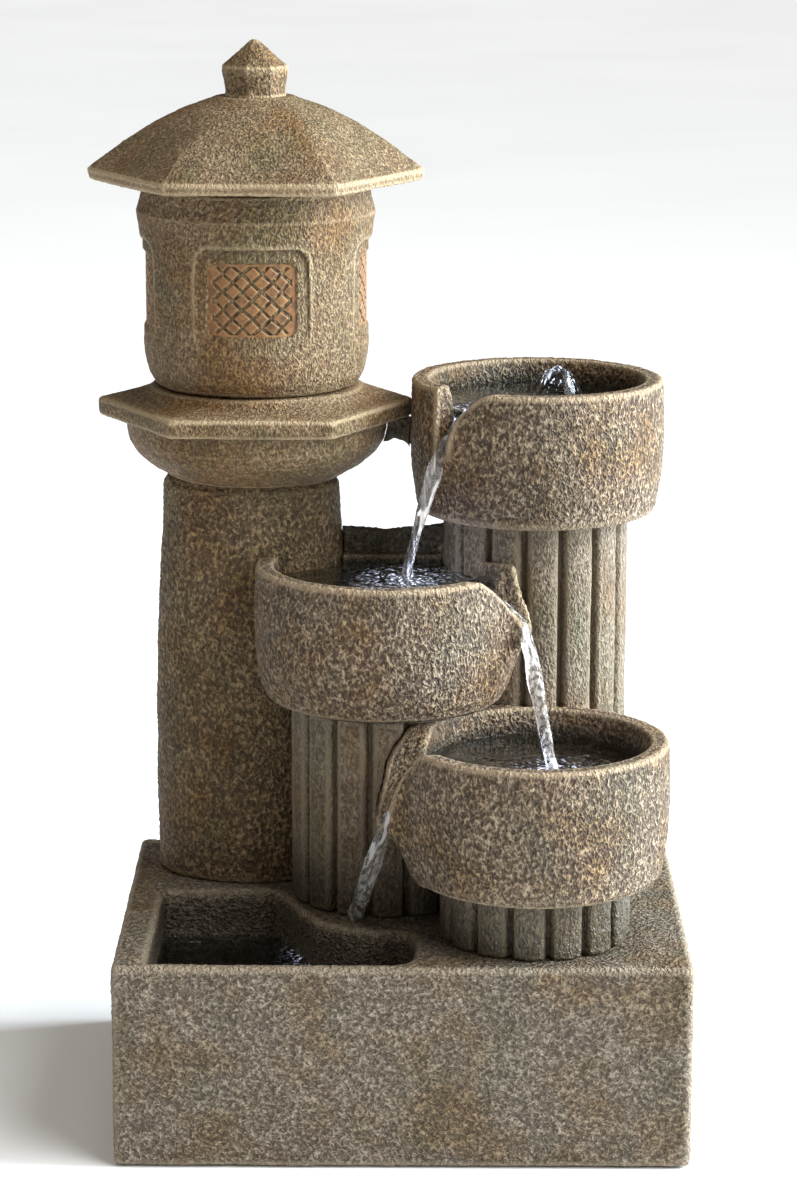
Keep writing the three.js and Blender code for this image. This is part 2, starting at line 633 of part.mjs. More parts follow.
function makeLeads() {
  const { middle, lower, pool } = LED_PLACES;
  const lead = (name, points, r, steps) => addPart(name, along(points, r, 8, steps), RUBBER());
  lead("led_middle_lead", [
    [middle.x, middle.y, middle.z - GAP],
    [middle.x, middle.y, middle.z - 14],
    [MID.x + 3, MID.y + 1, 130],
    [MID.x, MID.y, 92],
    [MID.x, MID.y, 76],
    [0, 22, 69.5],
    [20, 60, 70],
    [52, 65, 71],
    [83, 62, 72],
    ...intoGland(0, 3.1),
  ], LEAD.led, 26);
  lead("led_lower_lead", [
    [lower.x, lower.y, lower.z - GAP],
    [lower.x, lower.y, lower.z - 10],
    [LOW.x + 1, LOW.y - 2, 88],
    [LOW.x, LOW.y, 77],
    [62, -34, 68],
    [90, -6, 67],
    [98, 40, 68],
    ...intoGland(2.9, 1.4),
  ], LEAD.led, 22);
  lead("led_pool_lead", [
    [pool.x + LED.r + GAP, pool.y, pool.z + 2],
    [pool.x + 16, pool.y + 2, pool.z + 2.4],
    [6, -10, pool.z + 2.4],
    [10, 40, pool.z + 2.4],
    [30, 70, pool.z + 3],
    [70, 72, pool.z + 6],
    [82, 65, 42],
    [85, 63, 60],
    ...intoGland(-2.9, 1.4),
  ], LEAD.led, 26);
  lead("pump_lead", [
    [COIL.x1 + GAP, PUMP.y + PUMP_EXIT.dy, PUMP.z + PUMP_EXIT.dz],
    [PUMP.back + 1, PUMP.y + PUMP_EXIT.dy, PUMP.z + PUMP_EXIT.dz],
    [PUMP.back + 6, PUMP.y + 8, PUMP.z + 9],
    [GROMMET.x + 4, PUMP.y + 13, PUMP.z + 20],
    [GROMMET.x + 1, PUMP.y + 19, PUMP.z + 32],
    ...intoGland(0, -2.3),
  ], LEAD.pump, 16);
}

function makeHose() {
  const from = SPIGOT.top - HOSE.overlap;
  const to = TALL.top - 14;
  const route = [
    [SPIGOT.x, PUMP.y, from],
    [SPIGOT.x, PUMP.y, from + 14],
    [SPIGOT.x + 3, PUMP.y + 1, from + 44],
    [SPIGOT.x + 13, PUMP.y + 4, from + 92],
    [OUTLET.x - 1, OUTLET.y, to - 30],
    [OUTLET.x, OUTLET.y, to - 8],
    [OUTLET.x, OUTLET.y, to + 4],
  ];
  addPart("hose", along(route, HOSE.r, 10, 16, HOSE.bore), CLEAR_PLASTIC());

  const floor = TALL.top + BOWL.floor;
  const { r, bore } = SPIGOT;
  const sealTop = floor + GAP + 1.5;
  const stem = [[bore, to - 4], [r, to - 4], [r, sealTop + GAP], [10, sealTop + GAP],
    [10, sealTop + 2.6], [6.5, sealTop + 4], [5, sealTop + 14], [bore + 1, sealTop + 14],
    [bore, sealTop + 12]];
  addPart("bowl_nozzle", turned([...stem, stem[0]], OUTLET.x, OUTLET.y, SMALL_TURN), PUMP_PLASTIC());
  const seal = [[r + GAP, floor + GAP], [9, floor + GAP], [9, sealTop], [r + GAP, sealTop]];
  addPart("nozzle_seal", turned([...seal, seal[0]], OUTLET.x, OUTLET.y, SMALL_TURN), RUBBER());
}

// ---- Pump
function pumpOutline(inset) {
  const { y, z, half } = PUMP;
  const h = half - inset;
  return rectangle(y - h, y + h, z - h, z + h, 4);
}

const ringX = (rOut, rIn, x0, x1) =>
  turnedX([[rIn, x0], [rOut, x0], [rOut, x1], [rIn, x1], [rIn, x0]], PUMP.y, PUMP.z);
const rodX = (r, x0, x1) => turnedX([[0, x0], [r, x0], [r, x1], [0, x1]], PUMP.y, PUMP.z);

function cupPlaces() {
  return CUP.dx.flatMap((x) => [-1, 1].map((side) => [x, PUMP.y + side * CUP.dy]));
}

function makePumpBody() {
  const { y, z, front, face, back, well, half } = PUMP;
  const bottom = z - half;
  const block = prismX(pumpOutline(0), face, back);
  const volute = rodX(15, front, face + 1);
  const spigot = rod(SPIGOT.r, z, SPIGOT.top, SPIGOT.x, y);
  const room = cut(prismX(pumpOutline(3), face + 4, back + 1), rodX(9.4, face, well + 1.8));
  const chamber = rodX(11.5, front - 1, face);
  const rotorWell = rodX(7.6, face - 1, well);
  const water = rod(SPIGOT.bore, z, SPIGOT.top + 1, SPIGOT.x, y);
  const sockets = cupPlaces().map(([cx, cy]) => rod(1.8 + GAP, bottom - 1, bottom + 2.4, cx, cy, 12));
  addPart(
    "pump_body",
    cut(union(block, volute, spigot), room, chamber, rotorWell, water, ...sockets),
    PUMP_PLASTIC(),
  );
  cupPlaces().forEach(([cx, cy], i) => {
    const low = PAD + FLOOR + 2 * GAP;
    const cup = [[0, low + 1.4], [CUP.r - 1.2, low], [CUP.r, low], [CUP.r - 1.6, low + 1.6],
      [2.2, low + 2.8], [1.8, bottom + 2], [0, bottom + 2]];
    addPart(`suction_cup_${i + 1}`, turned(cup, cx, cy, SMALL_TURN), RUBBER());
  });
}

// The stator: a laminated U with its coil, shapes grown by a clearance for the potting round them.
function coreSolid(grow) {
  const { y, z } = PUMP;
  const leg = (side) => {
    const a = y + side * 9.8;
    const b = y + side * 13.6;
    return box(50 - grow, 81 + grow, Math.min(a, b) - grow, Math.max(a, b) + grow,
      z - 7 - grow, z + 7 + grow);
  };
  const yoke = box(77 - grow, 81 + grow, y - 13.6 - grow, y + 13.6 + grow, z - 7 - grow, z + 7 + grow);
  return union(leg(-1), leg(1), yoke);
}

function coilSolid(grow) {
  const { y, z } = PUMP;
  const { x0, x1, wide, high } = COIL;
  return box(x0 - grow, x1 + grow, y - wide - grow, y + wide + grow, z - high - grow, z + high + grow);
}

function makeMotor() {
  const { face, back, well } = PUMP;
  addPart("stator_core", coreSolid(0), STEEL());
  addPart("stator_coil", cut(coilSolid(0), coreSolid(GAP)), COPPER());
  const block = prismX(pumpOutline(3 + GAP), face + 4 + GAP, back - GAP);
  const wellRoom = rodX(9.4 + GAP, face, well + 1.8 + GAP);
  const exit = turnedX([[0, COIL.x1 - 1], [LEAD.pump + GAP, COIL.x1 - 1], [LEAD.pump + GAP, back + 1],
    [0, back + 1]], PUMP.y + PUMP_EXIT.dy, PUMP.z + PUMP_EXIT.dz);
  addPart("motor_potting", cut(block, wellRoom, coreSolid(GAP), coilSolid(GAP), exit), EPOXY());
}

function makeRotor() {
  const { y, z, face } = PUMP;
  const { r, x0, x1, blade, blades, hub } = ROTOR;
  const magnet = rodX(r, x0, x1);
  const disc = rodX(7.2, x0 - 1.6, x0 + 0.1);
  const stem = rodX(hub, face - 5.5, x0);
  const vanes = Array.from({ length: blades }, (_, i) => {
    const vane = box(face - 5.4, face - 0.8, -0.8, 0.8, 0, blade);
    return vane.rotate([i * (360 / blades), 0, 0]).translate([0, y, z]);
  });
  const bore = rodX(SHAFT.r + 0.06, face - 8, x1 + 1);
  addPart("impeller", cut(union(magnet, disc, stem, ...vanes), bore), PUMP_PLASTIC());
  addPart("impeller_shaft", rodX(SHAFT.r, SHAFT.x0, SHAFT.x1), CERAMIC());
  const rearBush = rodX(BUSH.r, x1 + 0.5, PUMP.well - GAP);
  addPart("rear_bush", cut(rearBush, rodX(BUSH.bore, x1, SHAFT.x1 + 0.2)), RUBBER());
}

function makeCover() {
  const { y, z, half, front, cover, face } = PUMP;
  const outer = prismX(pumpOutline(0), cover, face - GAP);
  const inner = prismX(pumpOutline(COVER.wall), cover + COVER.wall, face);
  const slots = Array.from({ length: COVER.slots }, (_, i) => {
    const low = z + (i - (COVER.slots - 1) / 2) * COVER.pitch - COVER.slot / 2;
    return box(cover - 1, cover + COVER.wall + 1, y - 13, y + 7, low, low + COVER.slot);
  });
  const neck = box(front - 5, face + 1, y - SPIGOT.r - 1, y + SPIGOT.r + 1, z + 10, z + half + 1);
  const post = rodX(BUSH.r + 2, cover + 1, front - 3);
  const bushRoom = rodX(BUSH.r + GAP, cover + 4, front);
  const track = [8.4, 15.6].map((dy) =>
    box(cover - 1.4, cover + 0.1, y + dy, y + dy + 1, z - 13, z + 13));
  const shell = union(cut(outer, inner, ...slots, neck), post, ...track);
  const sliderWindow = box(cover - 1, cover + 3, y + 10.4, y + 14.2, z + 2, z + 12);
  addPart("strainer_cover", cut(shell, bushRoom, sliderWindow), PUMP_PLASTIC());
  const frontBush = rodX(BUSH.r, cover + 4 + GAP, front - 3);
  addPart("front_bush", cut(frontBush, rodX(BUSH.bore, SHAFT.x0 - 0.3, front)), RUBBER());
  const slider = union(
    box(cover - 1.4, cover - GAP, y + 9.7, y + 15.3, z - 11, z - 1),
    box(cover - 3.2, cover - 1.3, y + 10.6, y + 14.4, z - 7, z - 5),
  );
  addPart("flow_slider", slider, PUMP_PLASTIC());
}

makeBase();
makePost();
makePlatform();
makeFirebox();
makeRoof();
makeColumns();
makeBowls();
makeWebs();
makeLights();
makeLeads();
makeHose();
makePumpBody();
makeMotor();
makeRotor();
makeCover();

export default fountain;
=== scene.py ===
import math
from functools import partial
from types import SimpleNamespace as Sizes

import bpy
import numpy as np
import openvdb as vdb
from mathutils import Euler, Matrix


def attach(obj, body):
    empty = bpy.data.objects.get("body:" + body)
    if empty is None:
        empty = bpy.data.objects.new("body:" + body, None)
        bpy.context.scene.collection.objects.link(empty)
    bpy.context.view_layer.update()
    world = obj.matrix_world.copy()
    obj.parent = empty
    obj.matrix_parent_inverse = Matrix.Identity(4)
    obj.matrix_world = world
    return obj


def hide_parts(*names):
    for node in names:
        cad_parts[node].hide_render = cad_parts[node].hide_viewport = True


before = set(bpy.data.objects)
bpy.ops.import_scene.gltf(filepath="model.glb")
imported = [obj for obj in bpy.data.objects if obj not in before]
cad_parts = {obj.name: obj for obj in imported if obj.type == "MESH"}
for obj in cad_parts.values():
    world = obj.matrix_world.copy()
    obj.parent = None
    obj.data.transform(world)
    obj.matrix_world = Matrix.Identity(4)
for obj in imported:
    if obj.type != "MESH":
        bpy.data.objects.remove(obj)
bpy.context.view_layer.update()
MM = 0.001
ROOT = "fountain"
COARSE = 1.0  # how many times coarser the castings are in a trial
ROOM_STEP = 3.0  # the lattice step of the rooms inside, which aren't seen

# ---- Driving dimensions. They are the solids' own, but for the finish of some edges and recesses.
# x, y: an upright axis. top, bottom, rim, z0, z1: heights. r, bore: radii. w, d, h: full sizes.
GAP = 0.3
BOWL_GAP = 0.5  # between a bowl and the tall column
# corner, pool_edge: how round the outer corners and the pool's edge are. lean: of the pool's walls
BASE = Sizes(w=220, d=170, top=80.2, bottom=0.4, wall=5, deck=5, corner=2.6, pool_edge=3,
             lean=0.024)
SKIRT = Sizes(low=52.2, wall=3.5)
POOL_WATER = 61
LANTERN = Sizes(x=-59, y=52)
POST = Sizes(x=-61.5, y=52, deep=0.82, wall=6, top=243)
# groove: how far a groove is turned from the front, in degrees. crown: how round a reed's face is
TALL = Sizes(x=52.8, y=44.3, top=230, groove=14.7)
MID = Sizes(x=-7.5, y=12.1, top=160, groove=14.7)
LOW = Sizes(x=50.9, y=-40.6, top=103.3, groove=7)
COLUMN = Sizes(r=37, bore=30.5, ribs=15, reed=3.2, crown=1.1)
BOWL = Sizes(wall=8.5, floor=8)
# foot: the chamfer under the bowl. bearing: of the spout from the front, clockwise from above.
# inner and outer: the channel's floor as (radius, height). left and right: how wide it opens at the
# rim, and how its side curves up to it. reach: of the spout past the wall. root: half its width
# where it starts. deep: how far its underside drops towards the wall. water: the level.
TOP_BOWL = Sizes(r=50.5, rim=283.7, foot=2.5, bearing=-47, inner=(36, 274), outer=(53, 257.8),
                 left=(5.6, 1.0), right=(18.5, 2.5), reach=3.5, water=274.7, root=13, deep=9)
MID_BOWL = Sizes(r=51.5, rim=214.9, foot=7, bearing=72, inner=(38, 207), outer=(60, 192.0),
                 left=(21, 1.25), right=(8.0, 1.0), reach=9, water=208, root=21, deep=17)
LOW_BOWL = Sizes(r=51.7, rim=158.2, foot=4, bearing=-82, inner=(38, 147), outer=(60, 126.5),
                 left=(25, 0.8), right=(19, 2.2), reach=6.5, water=147.7, root=20, deep=16)
# the middle bowl's raised lip behind its spout, and the ledge across its back
CHEEK = Sizes(out=44, across=16, z=203, r=8.5, top=218)
LEDGE = Sizes(y=44.5, top=211, r=48, bottom=168)
OUTLET = Sizes(x=61.5, y=52, r=4.6, top=245)
WEB = Sizes(x0=-40, x1=30, y0=51, y1=58)
DOOR = Sizes(half=21, z0=92, z1=150, gap=0.4, notch=6, depth=15)
GROMMET = Sizes(x=90, z=66, r=6.5)
DRAIN = Sizes(x=-80, z=14, r=6)
# corner: the slab's corner radius. slope: where the top starts to rise towards the lantern
PLATFORM = Sizes(corner=63.4, z0=266.7, slab=270, slab_half=3.5, slope=273.3, slope_top=277.2,
                 seat=279.6)
FIREBOX = Sizes(bottom=279.9, shoulder=348.8, neck=43, top=363.6)
# sink and panel: how deep the window's frame and its lattice lie
WINDOW = Sizes(z=318.8, w=43.2, h=39.9, inner_w=34, inner_h=28.7, corner=6, r=45.3, sink=0.9,
               panel=1.7)
ROOF_LINE = [(17, 393.1), (28.6, 389.1), (41.1, 383.2), (52.7, 376.1), (61.6, 369.6), (68.1, 365.1)]
EAVES = 360.6
COS30 = math.cos(math.pi / 6)


# ---- Distance fields
class Lattice:
    """The places where a field is sampled, as broadcastable axes."""

    def __init__(self, low, high, step):
        margin = 3 * step
        self.low = np.array(low, float) - margin
        self.step = step
        counts = np.ceil((np.array(high, float) + margin - self.low) / step).astype(int) + 1
        axes = [(self.low[i] + step * np.arange(counts[i])).astype(np.float32) for i in range(3)]
        self.x = axes[0].reshape(-1, 1, 1)
        self.y = axes[1].reshape(1, -1, 1)
        self.z = axes[2].reshape(1, 1, -1)
        self.shape = tuple(counts)


def soft_min(a, b, k):
    share = np.clip(0.5 + 0.5 * (b - a) / k, 0, 1)
    return b + (a - b) * share - k * share * (1 - share)


def soft_max(a, b, k):
    return -soft_min(-a, -b, k)


def smoothstep(value, low, high):
    t = np.clip((value - low) / (high - low), 0, 1)
    return t * t * (3 - 2 * t)


def rounded_box(g, centre, half, radius):
    axes = (g.x, g.y, g.z)
    q = [np.abs(a - c) - h + radius for a, c, h in zip(axes, centre, half)]
    outside = np.sqrt(sum(np.maximum(part, 0) ** 2 for part in q))
    return outside + np.minimum(np.maximum(q[0], np.maximum(q[1], q[2])), 0) - radius


def rounded_pane(u, v, half_u, half_v, radius):
    qu, qv = np.abs(u) - half_u + radius, np.abs(v) - half_v + radius
    outside = np.sqrt(np.maximum(qu, 0) ** 2 + np.maximum(qv, 0) ** 2)
    return outside + np.minimum(np.maximum(qu, qv), 0) - radius


def outline_distance(px, py, outline):
    """Signed distance to a closed outline, negative inside it."""
    shape = np.broadcast(px, py).shape
    best = np.full(shape, 1e9, np.float32)
    inside = np.zeros(shape, bool)
    for (ax, ay), (bx, by) in zip(outline, outline[1:] + outline[:1]):
        ex, ey = bx - ax, by - ay
        t = np.clip(((px - ax) * ex + (py - ay) * ey) / (ex * ex + ey * ey), 0, 1)
        best = np.minimum(best, (px - ax - t * ex) ** 2 + (py - ay - t * ey) ** 2)
        if ay != by:
            inside ^= ((ay > py) != (by > py)) & (px < ex * (py - ay) / ey + ax)
    return np.where(inside, -1, 1) * np.sqrt(best)


def turned(radius, z, profile):
    """A profile of (radius, height) pairs, bottom to top, turned about its axis."""
    beyond = -60  # the closing side, well past the axis
    outline = profile + [(beyond, profile[-1][1]), (beyond, profile[0][1])]
    pitch = 0.25
    radii = np.arange(0, float(radius.max()) + 2 * pitch, pitch, dtype=np.float32)
    table = outline_distance(radii.reshape(-1, 1), z.reshape(1, -1), outline).astype(np.float32)
    place = radius[:, :, 0] / pitch
    low = np.minimum(place.astype(int), len(radii) - 2)
    share = (place - low)[:, :, None]
    return table[low] * (1 - share) + table[low + 1] * share


def plan_radius(g, centre, deep=1.0):
    """Distance from an upright axis. deep: an oval's depth as a share of its width."""
    return np.sqrt((g.x - centre.x) ** 2 + ((g.y - centre.y) / deep) ** 2)


def cut(body, tool, soft=0.0):
    """A body with a tool's space taken out of it."""
    return soft_max(body, -tool, soft) if soft else np.maximum(body, -tool)


def clear_of(g, body, centre, radius, gap=GAP):
    """A body cut back from a round neighbour."""
    return cut(body, plan_radius(g, centre) - radius - gap)


# ---- Noise
def lattice_noise(points, seed):
    """Smooth gradient noise, about -1 to 1, one hollow or rise to each unit."""
    cell = np.floor(points).astype(np.int64)
    inside = (points - cell).astype(np.float32)
    fade = inside**3 * (inside * (inside * 6 - 15) + 10)
    angles = np.arange(64) * 2.39996
    heights = 1 - 2 * (np.arange(64) + 0.5) / 64
    spread = np.sqrt(1 - heights**2)
    gradients = np.stack([spread * np.cos(angles), spread * np.sin(angles), heights], 1)
    gradients = gradients.astype(np.float32)
    total = np.zeros(len(points), np.float32)
    for corner in np.ndindex(2, 2, 2):
        at = cell + corner
        mixed = at[:, 0] * 73856093 ^ at[:, 1] * 19349663 ^ at[:, 2] * 83492791 ^ seed * 2654435761
        mixed = (mixed ^ (mixed >> 13)) * 1274126177 & 0x7FFFFFFF
        picked = gradients[(mixed ^ (mixed >> 16)) & 63]
        away = inside - np.array(corner, np.float32)
        weight = np.prod(np.where(corner, fade, 1 - fade), 1)
        total += weight * np.einsum("ij,ij->i", picked, away)
    return total * 1.7


def wrinkles(points, spacing, tall, seed):
    """The relief of the castings: 1 on wandering ridges, 0 in the hollows between them."""
    p = points / spacing
    p = p * np.array([1, 1, 1 / tall])
    bend = np.stack([lattice_noise(p * 0.6, seed + i) for i in range(3)], 1)
    p = p + 0.55 * bend
    broad = 1 - np.minimum(np.abs(lattice_noise(p, seed + 4)) * 3.2, 1)
    fine = 1 - np.minimum(np.abs(lattice_noise(p * 1.7, seed + 5)) * 2.8, 1)
    height = lattice_noise(p * 0.45, seed + 6)
    return np.clip(0.6 * broad + 0.4 * fine + 0.2 * height, 0, 1)


# ---- Meshes
def polygonise(g, values):
    band = 4 * g.step
    volume = vdb.FloatGrid(band)
    volume.copyFromArray(np.ascontiguousarray(np.clip(values, -band, band), dtype=np.float32))
    points, quads = volume.convertToQuads(isovalue=0.0)
    return points * g.step + g.low, quads


def vertex_normals(points, quads):
    a, b, c, d = (points[quads[:, i]] for i in range(4))
    face = np.cross(c - a, d - b)
    normals = np.zeros_like(points)
    for axis in range(3):
        for i in range(4):
            normals[:, axis] += np.bincount(quads[:, i], face[:, axis], len(points))
    return normals / np.maximum(np.linalg.norm(normals, axis=1, keepdims=True), 1e-9)


def blurred(values, reach):
    """A box blur of the field, reach samples each way, done as running sums."""
    for axis in range(3):
        width = [(reach + 1, reach) if i == axis else (0, 0) for i in range(3)]
        sums = np.cumsum(np.pad(values, width, mode="edge"), axis=axis, dtype=np.float64)
        high = np.take(sums, range(2 * reach + 1, sums.shape[axis]), axis)
        low = np.take(sums, range(0, sums.shape[axis] - 2 * reach - 1), axis)
        values = ((high - low) / (2 * reach + 1)).astype(np.float32)
    return values


def sampled(g, values, points):
    place = (points - g.low) / g.step
    cell = np.clip(place.astype(int), 0, np.array(g.shape) - 2)
    share = place - cell
    total = np.zeros(len(points))
    for corner in np.ndindex(2, 2, 2):
        weight = np.prod(np.where(corner, share, 1 - share), 1)
        total += weight * values[tuple((cell + corner).T)]
    return total


def place(name, data):
    thing = bpy.data.objects.new(name, data)
    bpy.context.scene.collection.objects.link(thing)
    return thing


def add_mesh(name, points, faces):
    """A smooth mesh object from points in millimetres and an array of equal-sized faces."""
    faces = np.asarray(faces)
    mesh = bpy.data.meshes.new(name)
    mesh.vertices.add(len(points))
    mesh.vertices.foreach_set("co", (np.asarray(points) * MM).astype(np.float32).ravel())
    mesh.loops.add(faces.size)
    mesh.loops.foreach_set("vertex_index", faces.astype(np.int32).ravel())
    mesh.polygons.add(len(faces))
    starts = np.arange(0, faces.size, faces.shape[1], dtype=np.int32)
    mesh.polygons.foreach_set("loop_start", starts)
    mesh.polygons.foreach_set("use_smooth", np.full(len(faces), True))
    mesh.update(calc_edges=True)
    return place(name, mesh)


def set_attribute(thing, name, values):
    """Gives each vertex a number, which a material reads by the attribute's name."""
    layer = thing.data.attributes.new(name, "FLOAT", "POINT")
    layer.data.foreach_set("value", np.asarray(values, np.float32))


def hollow_out(thing, room, low, high):
    """Cuts a room, given as a field, out of a casting."""
    g = Lattice(low, high, ROOM_STEP)
    points, quads = polygonise(g, np.broadcast_to(room(g), g.shape))
    tool = add_mesh(thing.name + "_room", points, quads)
    boolean = thing.modifiers.new("room", "BOOLEAN")
    boolean.operation, boolean.solver, boolean.object = "DIFFERENCE", "MANIFOLD", tool
    graph = bpy.context.evaluated_depsgraph_get()
    mesh = bpy.data.meshes.new_from_object(thing.evaluated_get(graph), depsgraph=graph)
    if len(mesh.polygons) == 0:
        raise RuntimeError(thing.name + " was lost in its cut")
    thing.modifiers.clear()
    old, thing.data = thing.data, mesh
    bpy.data.meshes.remove(old)
    bpy.data.objects.remove(tool)


def casting(node, slot, material, low, high, field, *, seed, spacing, depth, lumps, step=0.9,
            tall=1.25, body=ROOT, calm=None, damp=None, room=None):
    """One stone casting, made from field between low and high.

    spacing, depth and tall: the relief's ridges. lumps: the depth of the broad unevenness.
    calm and damp give, for points and normals, how smooth and how wet the surface is.
    """
    near, width, broad = 6, 1.4, 26  # how far the field and an edge reach, and a lump's size
    g = Lattice(low, high, step * COARSE)
    values = np.clip(np.broadcast_to(field(g), g.shape), -near, near).astype(np.float32)
    points, quads = polygonise(g, values)
    normals = vertex_normals(points, quads)
    reach = max(1, round(width / g.step))
    edge = sampled(g, blurred(values, reach), points) - sampled(g, values, points)
    relief = wrinkles(points, spacing, tall, seed)
    strength = np.ones(len(points)) if calm is None else 1 - calm(points, normals)
    wave = lattice_noise(points / broad, seed + 9) * lumps
    lift = (relief - 0.55) * depth * strength + wave * np.minimum(strength + 0.15, 1)
    points = points + normals * lift[:, None]
    points[:, 2] = np.clip(points[:, 2], low[2], high[2])
    thing = add_mesh(node + "_stone", points, quads)
    set_attribute(thing, "relief", relief * strength + 0.42 * (1 - strength))
    set_attribute(thing, "edge", edge / (reach * g.step))
    set_attribute(thing, "damp", np.zeros(len(points)) if damp is None else damp(points, normals))
    if room:
        hollow_out(thing, *room)
    thing.data.materials.clear()
    thing.data.materials.append(material)
    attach(thing, body)
    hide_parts(node)


# ---- Materials
def tone(r, g, b):
    """A colour given as it looks on screen, 0 to 255, as the linear one that a shader takes."""
    parts = [c / 255 / 12.92 if c <= 10 else ((c / 255 + 0.055) / 1.055) ** 2.4 for c in (r, g, b)]
    return (*parts, 1)


class Material:
    """A Principled shader, and the nodes that are built in front of it."""

    def __init__(self, name, roughness=0.5, **constants):
        self.material = bpy.data.materials.new(name)
        self.material.use_nodes = True
        self.tree = self.material.node_tree
        self.inputs = self.tree.nodes["Principled BSDF"].inputs
        self.inputs["Roughness"].default_value = roughness
        for socket, value in constants.items():
            self.inputs[socket.replace("_", " ")].default_value = value
        self.place = self.node("TexCoord", {}).outputs["Object"]

    def feed(self, socket, value):
        """Gives a socket its number or colour, or links a node's output to it."""
        if isinstance(value, (int, float, tuple)):
            socket.default_value = value
        else:
            self.tree.links.new(value, socket)

    def node(self, kind, inputs, **settings):
        made = self.tree.nodes.new("ShaderNode" + kind)
        for key, value in settings.items():
            setattr(made, key, value)
        for key, value in inputs.items():
            self.feed(made.inputs[key], value)
        return made

    def attribute(self, name):
        return self.node("Attribute", {}, attribute_name=name).outputs["Fac"]

    def noise(self, size, detail=4.0, roughness=0.6, stretch=None, distortion=0.0):
        """Noise with features of about the given size in millimetres."""
        place = self.place
        if stretch:
            place = self.node("Mapping", {"Vector": place, "Scale": stretch}).outputs["Vector"]
        return self.node("TexNoise", {
            "Vector": place, "Scale": 1 / (size * MM), "Detail": detail, "Roughness": roughness,
            "Distortion": distortion}).outputs["Fac"]

    def span(self, source, low, high, to_low=0.0, to_high=1.0):
        return self.node("MapRange", {
            "Value": source, "From Min": low, "From Max": high, "To Min": to_low,
            "To Max": to_high}).outputs["Result"]

    def math(self, operation, a, b=0.0):
        return self.node("Math", {0: a, 1: b}, operation=operation).outputs["Value"]

    def ramp(self, source, stops):
        made = self.node("ValToRGB", {"Fac": source})
        points = made.color_ramp.elements
        while len(points) < len(stops):
            points.new(0.5)
        for point, (at, colour) in zip(points, stops):
            point.position, point.color = at, colour
        return made.outputs["Color"]

    def mix(self, share, a, b, blend="MIX"):
        """Colours a and b: share, a and b are the Mix node's inputs 0, 6 and 7."""
        made = self.node("Mix", {}, data_type="RGBA", blend_type=blend)
        for index, value in ((0, share), (6, a), (7, b)):
            self.feed(made.inputs[index], value)
        return made.outputs[2]

    def colour(self, source):
        self.feed(self.inputs["Base Color"], source)

    def rough(self, source):
        self.feed(self.inputs["Roughness"], source)

    def bump(self, source, depth, strength=1.0):
        made = self.node("Bump", {"Height": source, "Strength": strength, "Distance": depth * MM})
        self.feed(self.inputs["Normal"], made.outputs["Normal"])


def stone(name, colours, tall, cell, depth):
    """Painted cast stone: dark in its hollows, which is dark paint and painted shade, dry-brushed
    on its ridges, and light on its edges, which is wear and painted highlight.

    colours: hollow (also painted shade in creases), body, ridge, warm and cool tint, worn edge
    (also a painted highlight). tall: how far the pebbles stretch.
    cell and depth: their size, and how high they stand, in millimetres.
    """
    hollow, body, ridge, warm, cool, worn_and_highlit = (tone(*colour) for colour in colours)
    m = Material(name, 0.6, Specular_IOR_Level=0.4)
    relief, edge, damp = (m.attribute(key) for key in ("relief", "edge", "damp"))
    squash = (1, 1, 1 / tall)
    wander = m.noise(cell * 1.7, 1.5, 0.45, squash, 0.5)
    ridges = m.span(m.math("ABSOLUTE", m.math("SUBTRACT", wander, 0.5)), 0, 0.13, 1, 0)
    pebble = m.span(m.noise(cell, 2, 0.5, squash, 0.3), 0.3, 0.7, 0, 1)
    net = m.math("ADD", m.math("MULTIPLY", ridges, 0.4), m.math("MULTIPLY", pebble, 0.6))
    height = m.math("ADD", m.math("MULTIPLY", net, 0.85), m.math("MULTIPLY", relief, 0.15))
    grain = m.noise(0.5, 2, 0.6)
    painted = m.math("ADD", height, m.span(grain, 0.3, 0.7, -0.06, 0.06))
    # the height ramp: dark paint and painted shade in the hollows, dry-brushed paint on the ridges
    base = m.ramp(painted, [(0.2, hollow), (0.5, body), (0.78, ridge)])
    patches = m.noise(30, 5, 0.6)
    base = m.mix(m.span(patches, 0.46, 0.66, 0, 0.75), base, m.mix(1.0, base, warm, "MULTIPLY"))
    pools = m.noise(22, 4, 0.55, (1, 1, 0.6))
    base = m.mix(m.span(pools, 0.48, 0.68, 0, 0.7), base, m.mix(1.0, base, cool, "MULTIPLY"))
    # lighter convex edges: wear and a painted highlight
    base = m.mix(m.span(edge, 0.05, 0.2, 0, 0.8), base, worn_and_highlit)
    # darker concave creases, in the hollow colour: painted shade and grime
    base = m.mix(m.span(edge, -0.04, -0.28, 0, 0.75), base, hollow)
    wet = m.mix(1.0, base, tone(104, 108, 84), "MULTIPLY")
    m.colour(m.mix(m.math("MULTIPLY", damp, 0.85), base, wet))
    m.rough(m.math("SUBTRACT", m.span(grain, 0.3, 0.7, 0.52, 0.74), m.math("MULTIPLY", damp, 0.3)))
    m.bump(m.math("ADD", net, m.math("MULTIPLY", grain, 0.12)), depth)
    return m.material


STONE = stone("stone", [(62, 47, 34), (108, 90, 70), (174, 155, 130), (236, 206, 150),
                        (214, 228, 224), (172, 151, 122)], 1.4, 1.25, 1.35)
BASE_STONE = stone("base_stone", [(80, 68, 54), (112, 100, 84), (160, 147, 129), (238, 210, 164),
                                  (220, 230, 222), (168, 153, 130)], 0.8, 1.5, 1.5)
POST_STONE = stone("post_stone", [(66, 50, 31), (100, 80, 53), (152, 130, 96), (238, 206, 140),
                                  (204, 220, 196), (122, 104, 76)], 1.3, 1.4, 1.3)
LANTERN_STONE = stone("lantern_stone", [(82, 63, 41), (116, 94, 65), (160, 139, 107),
                                        (238, 204, 138), (202, 216, 186), (180, 158, 124)],
                      1.4, 1.0, 0.85)
COLUMN_STONE = stone("column_stone", [(84, 71, 55), (112, 98, 80), (146, 133, 113), (236, 204, 156),
                                      (200, 218, 194), (126, 112, 91)], 1.6, 1.1, 0.7)
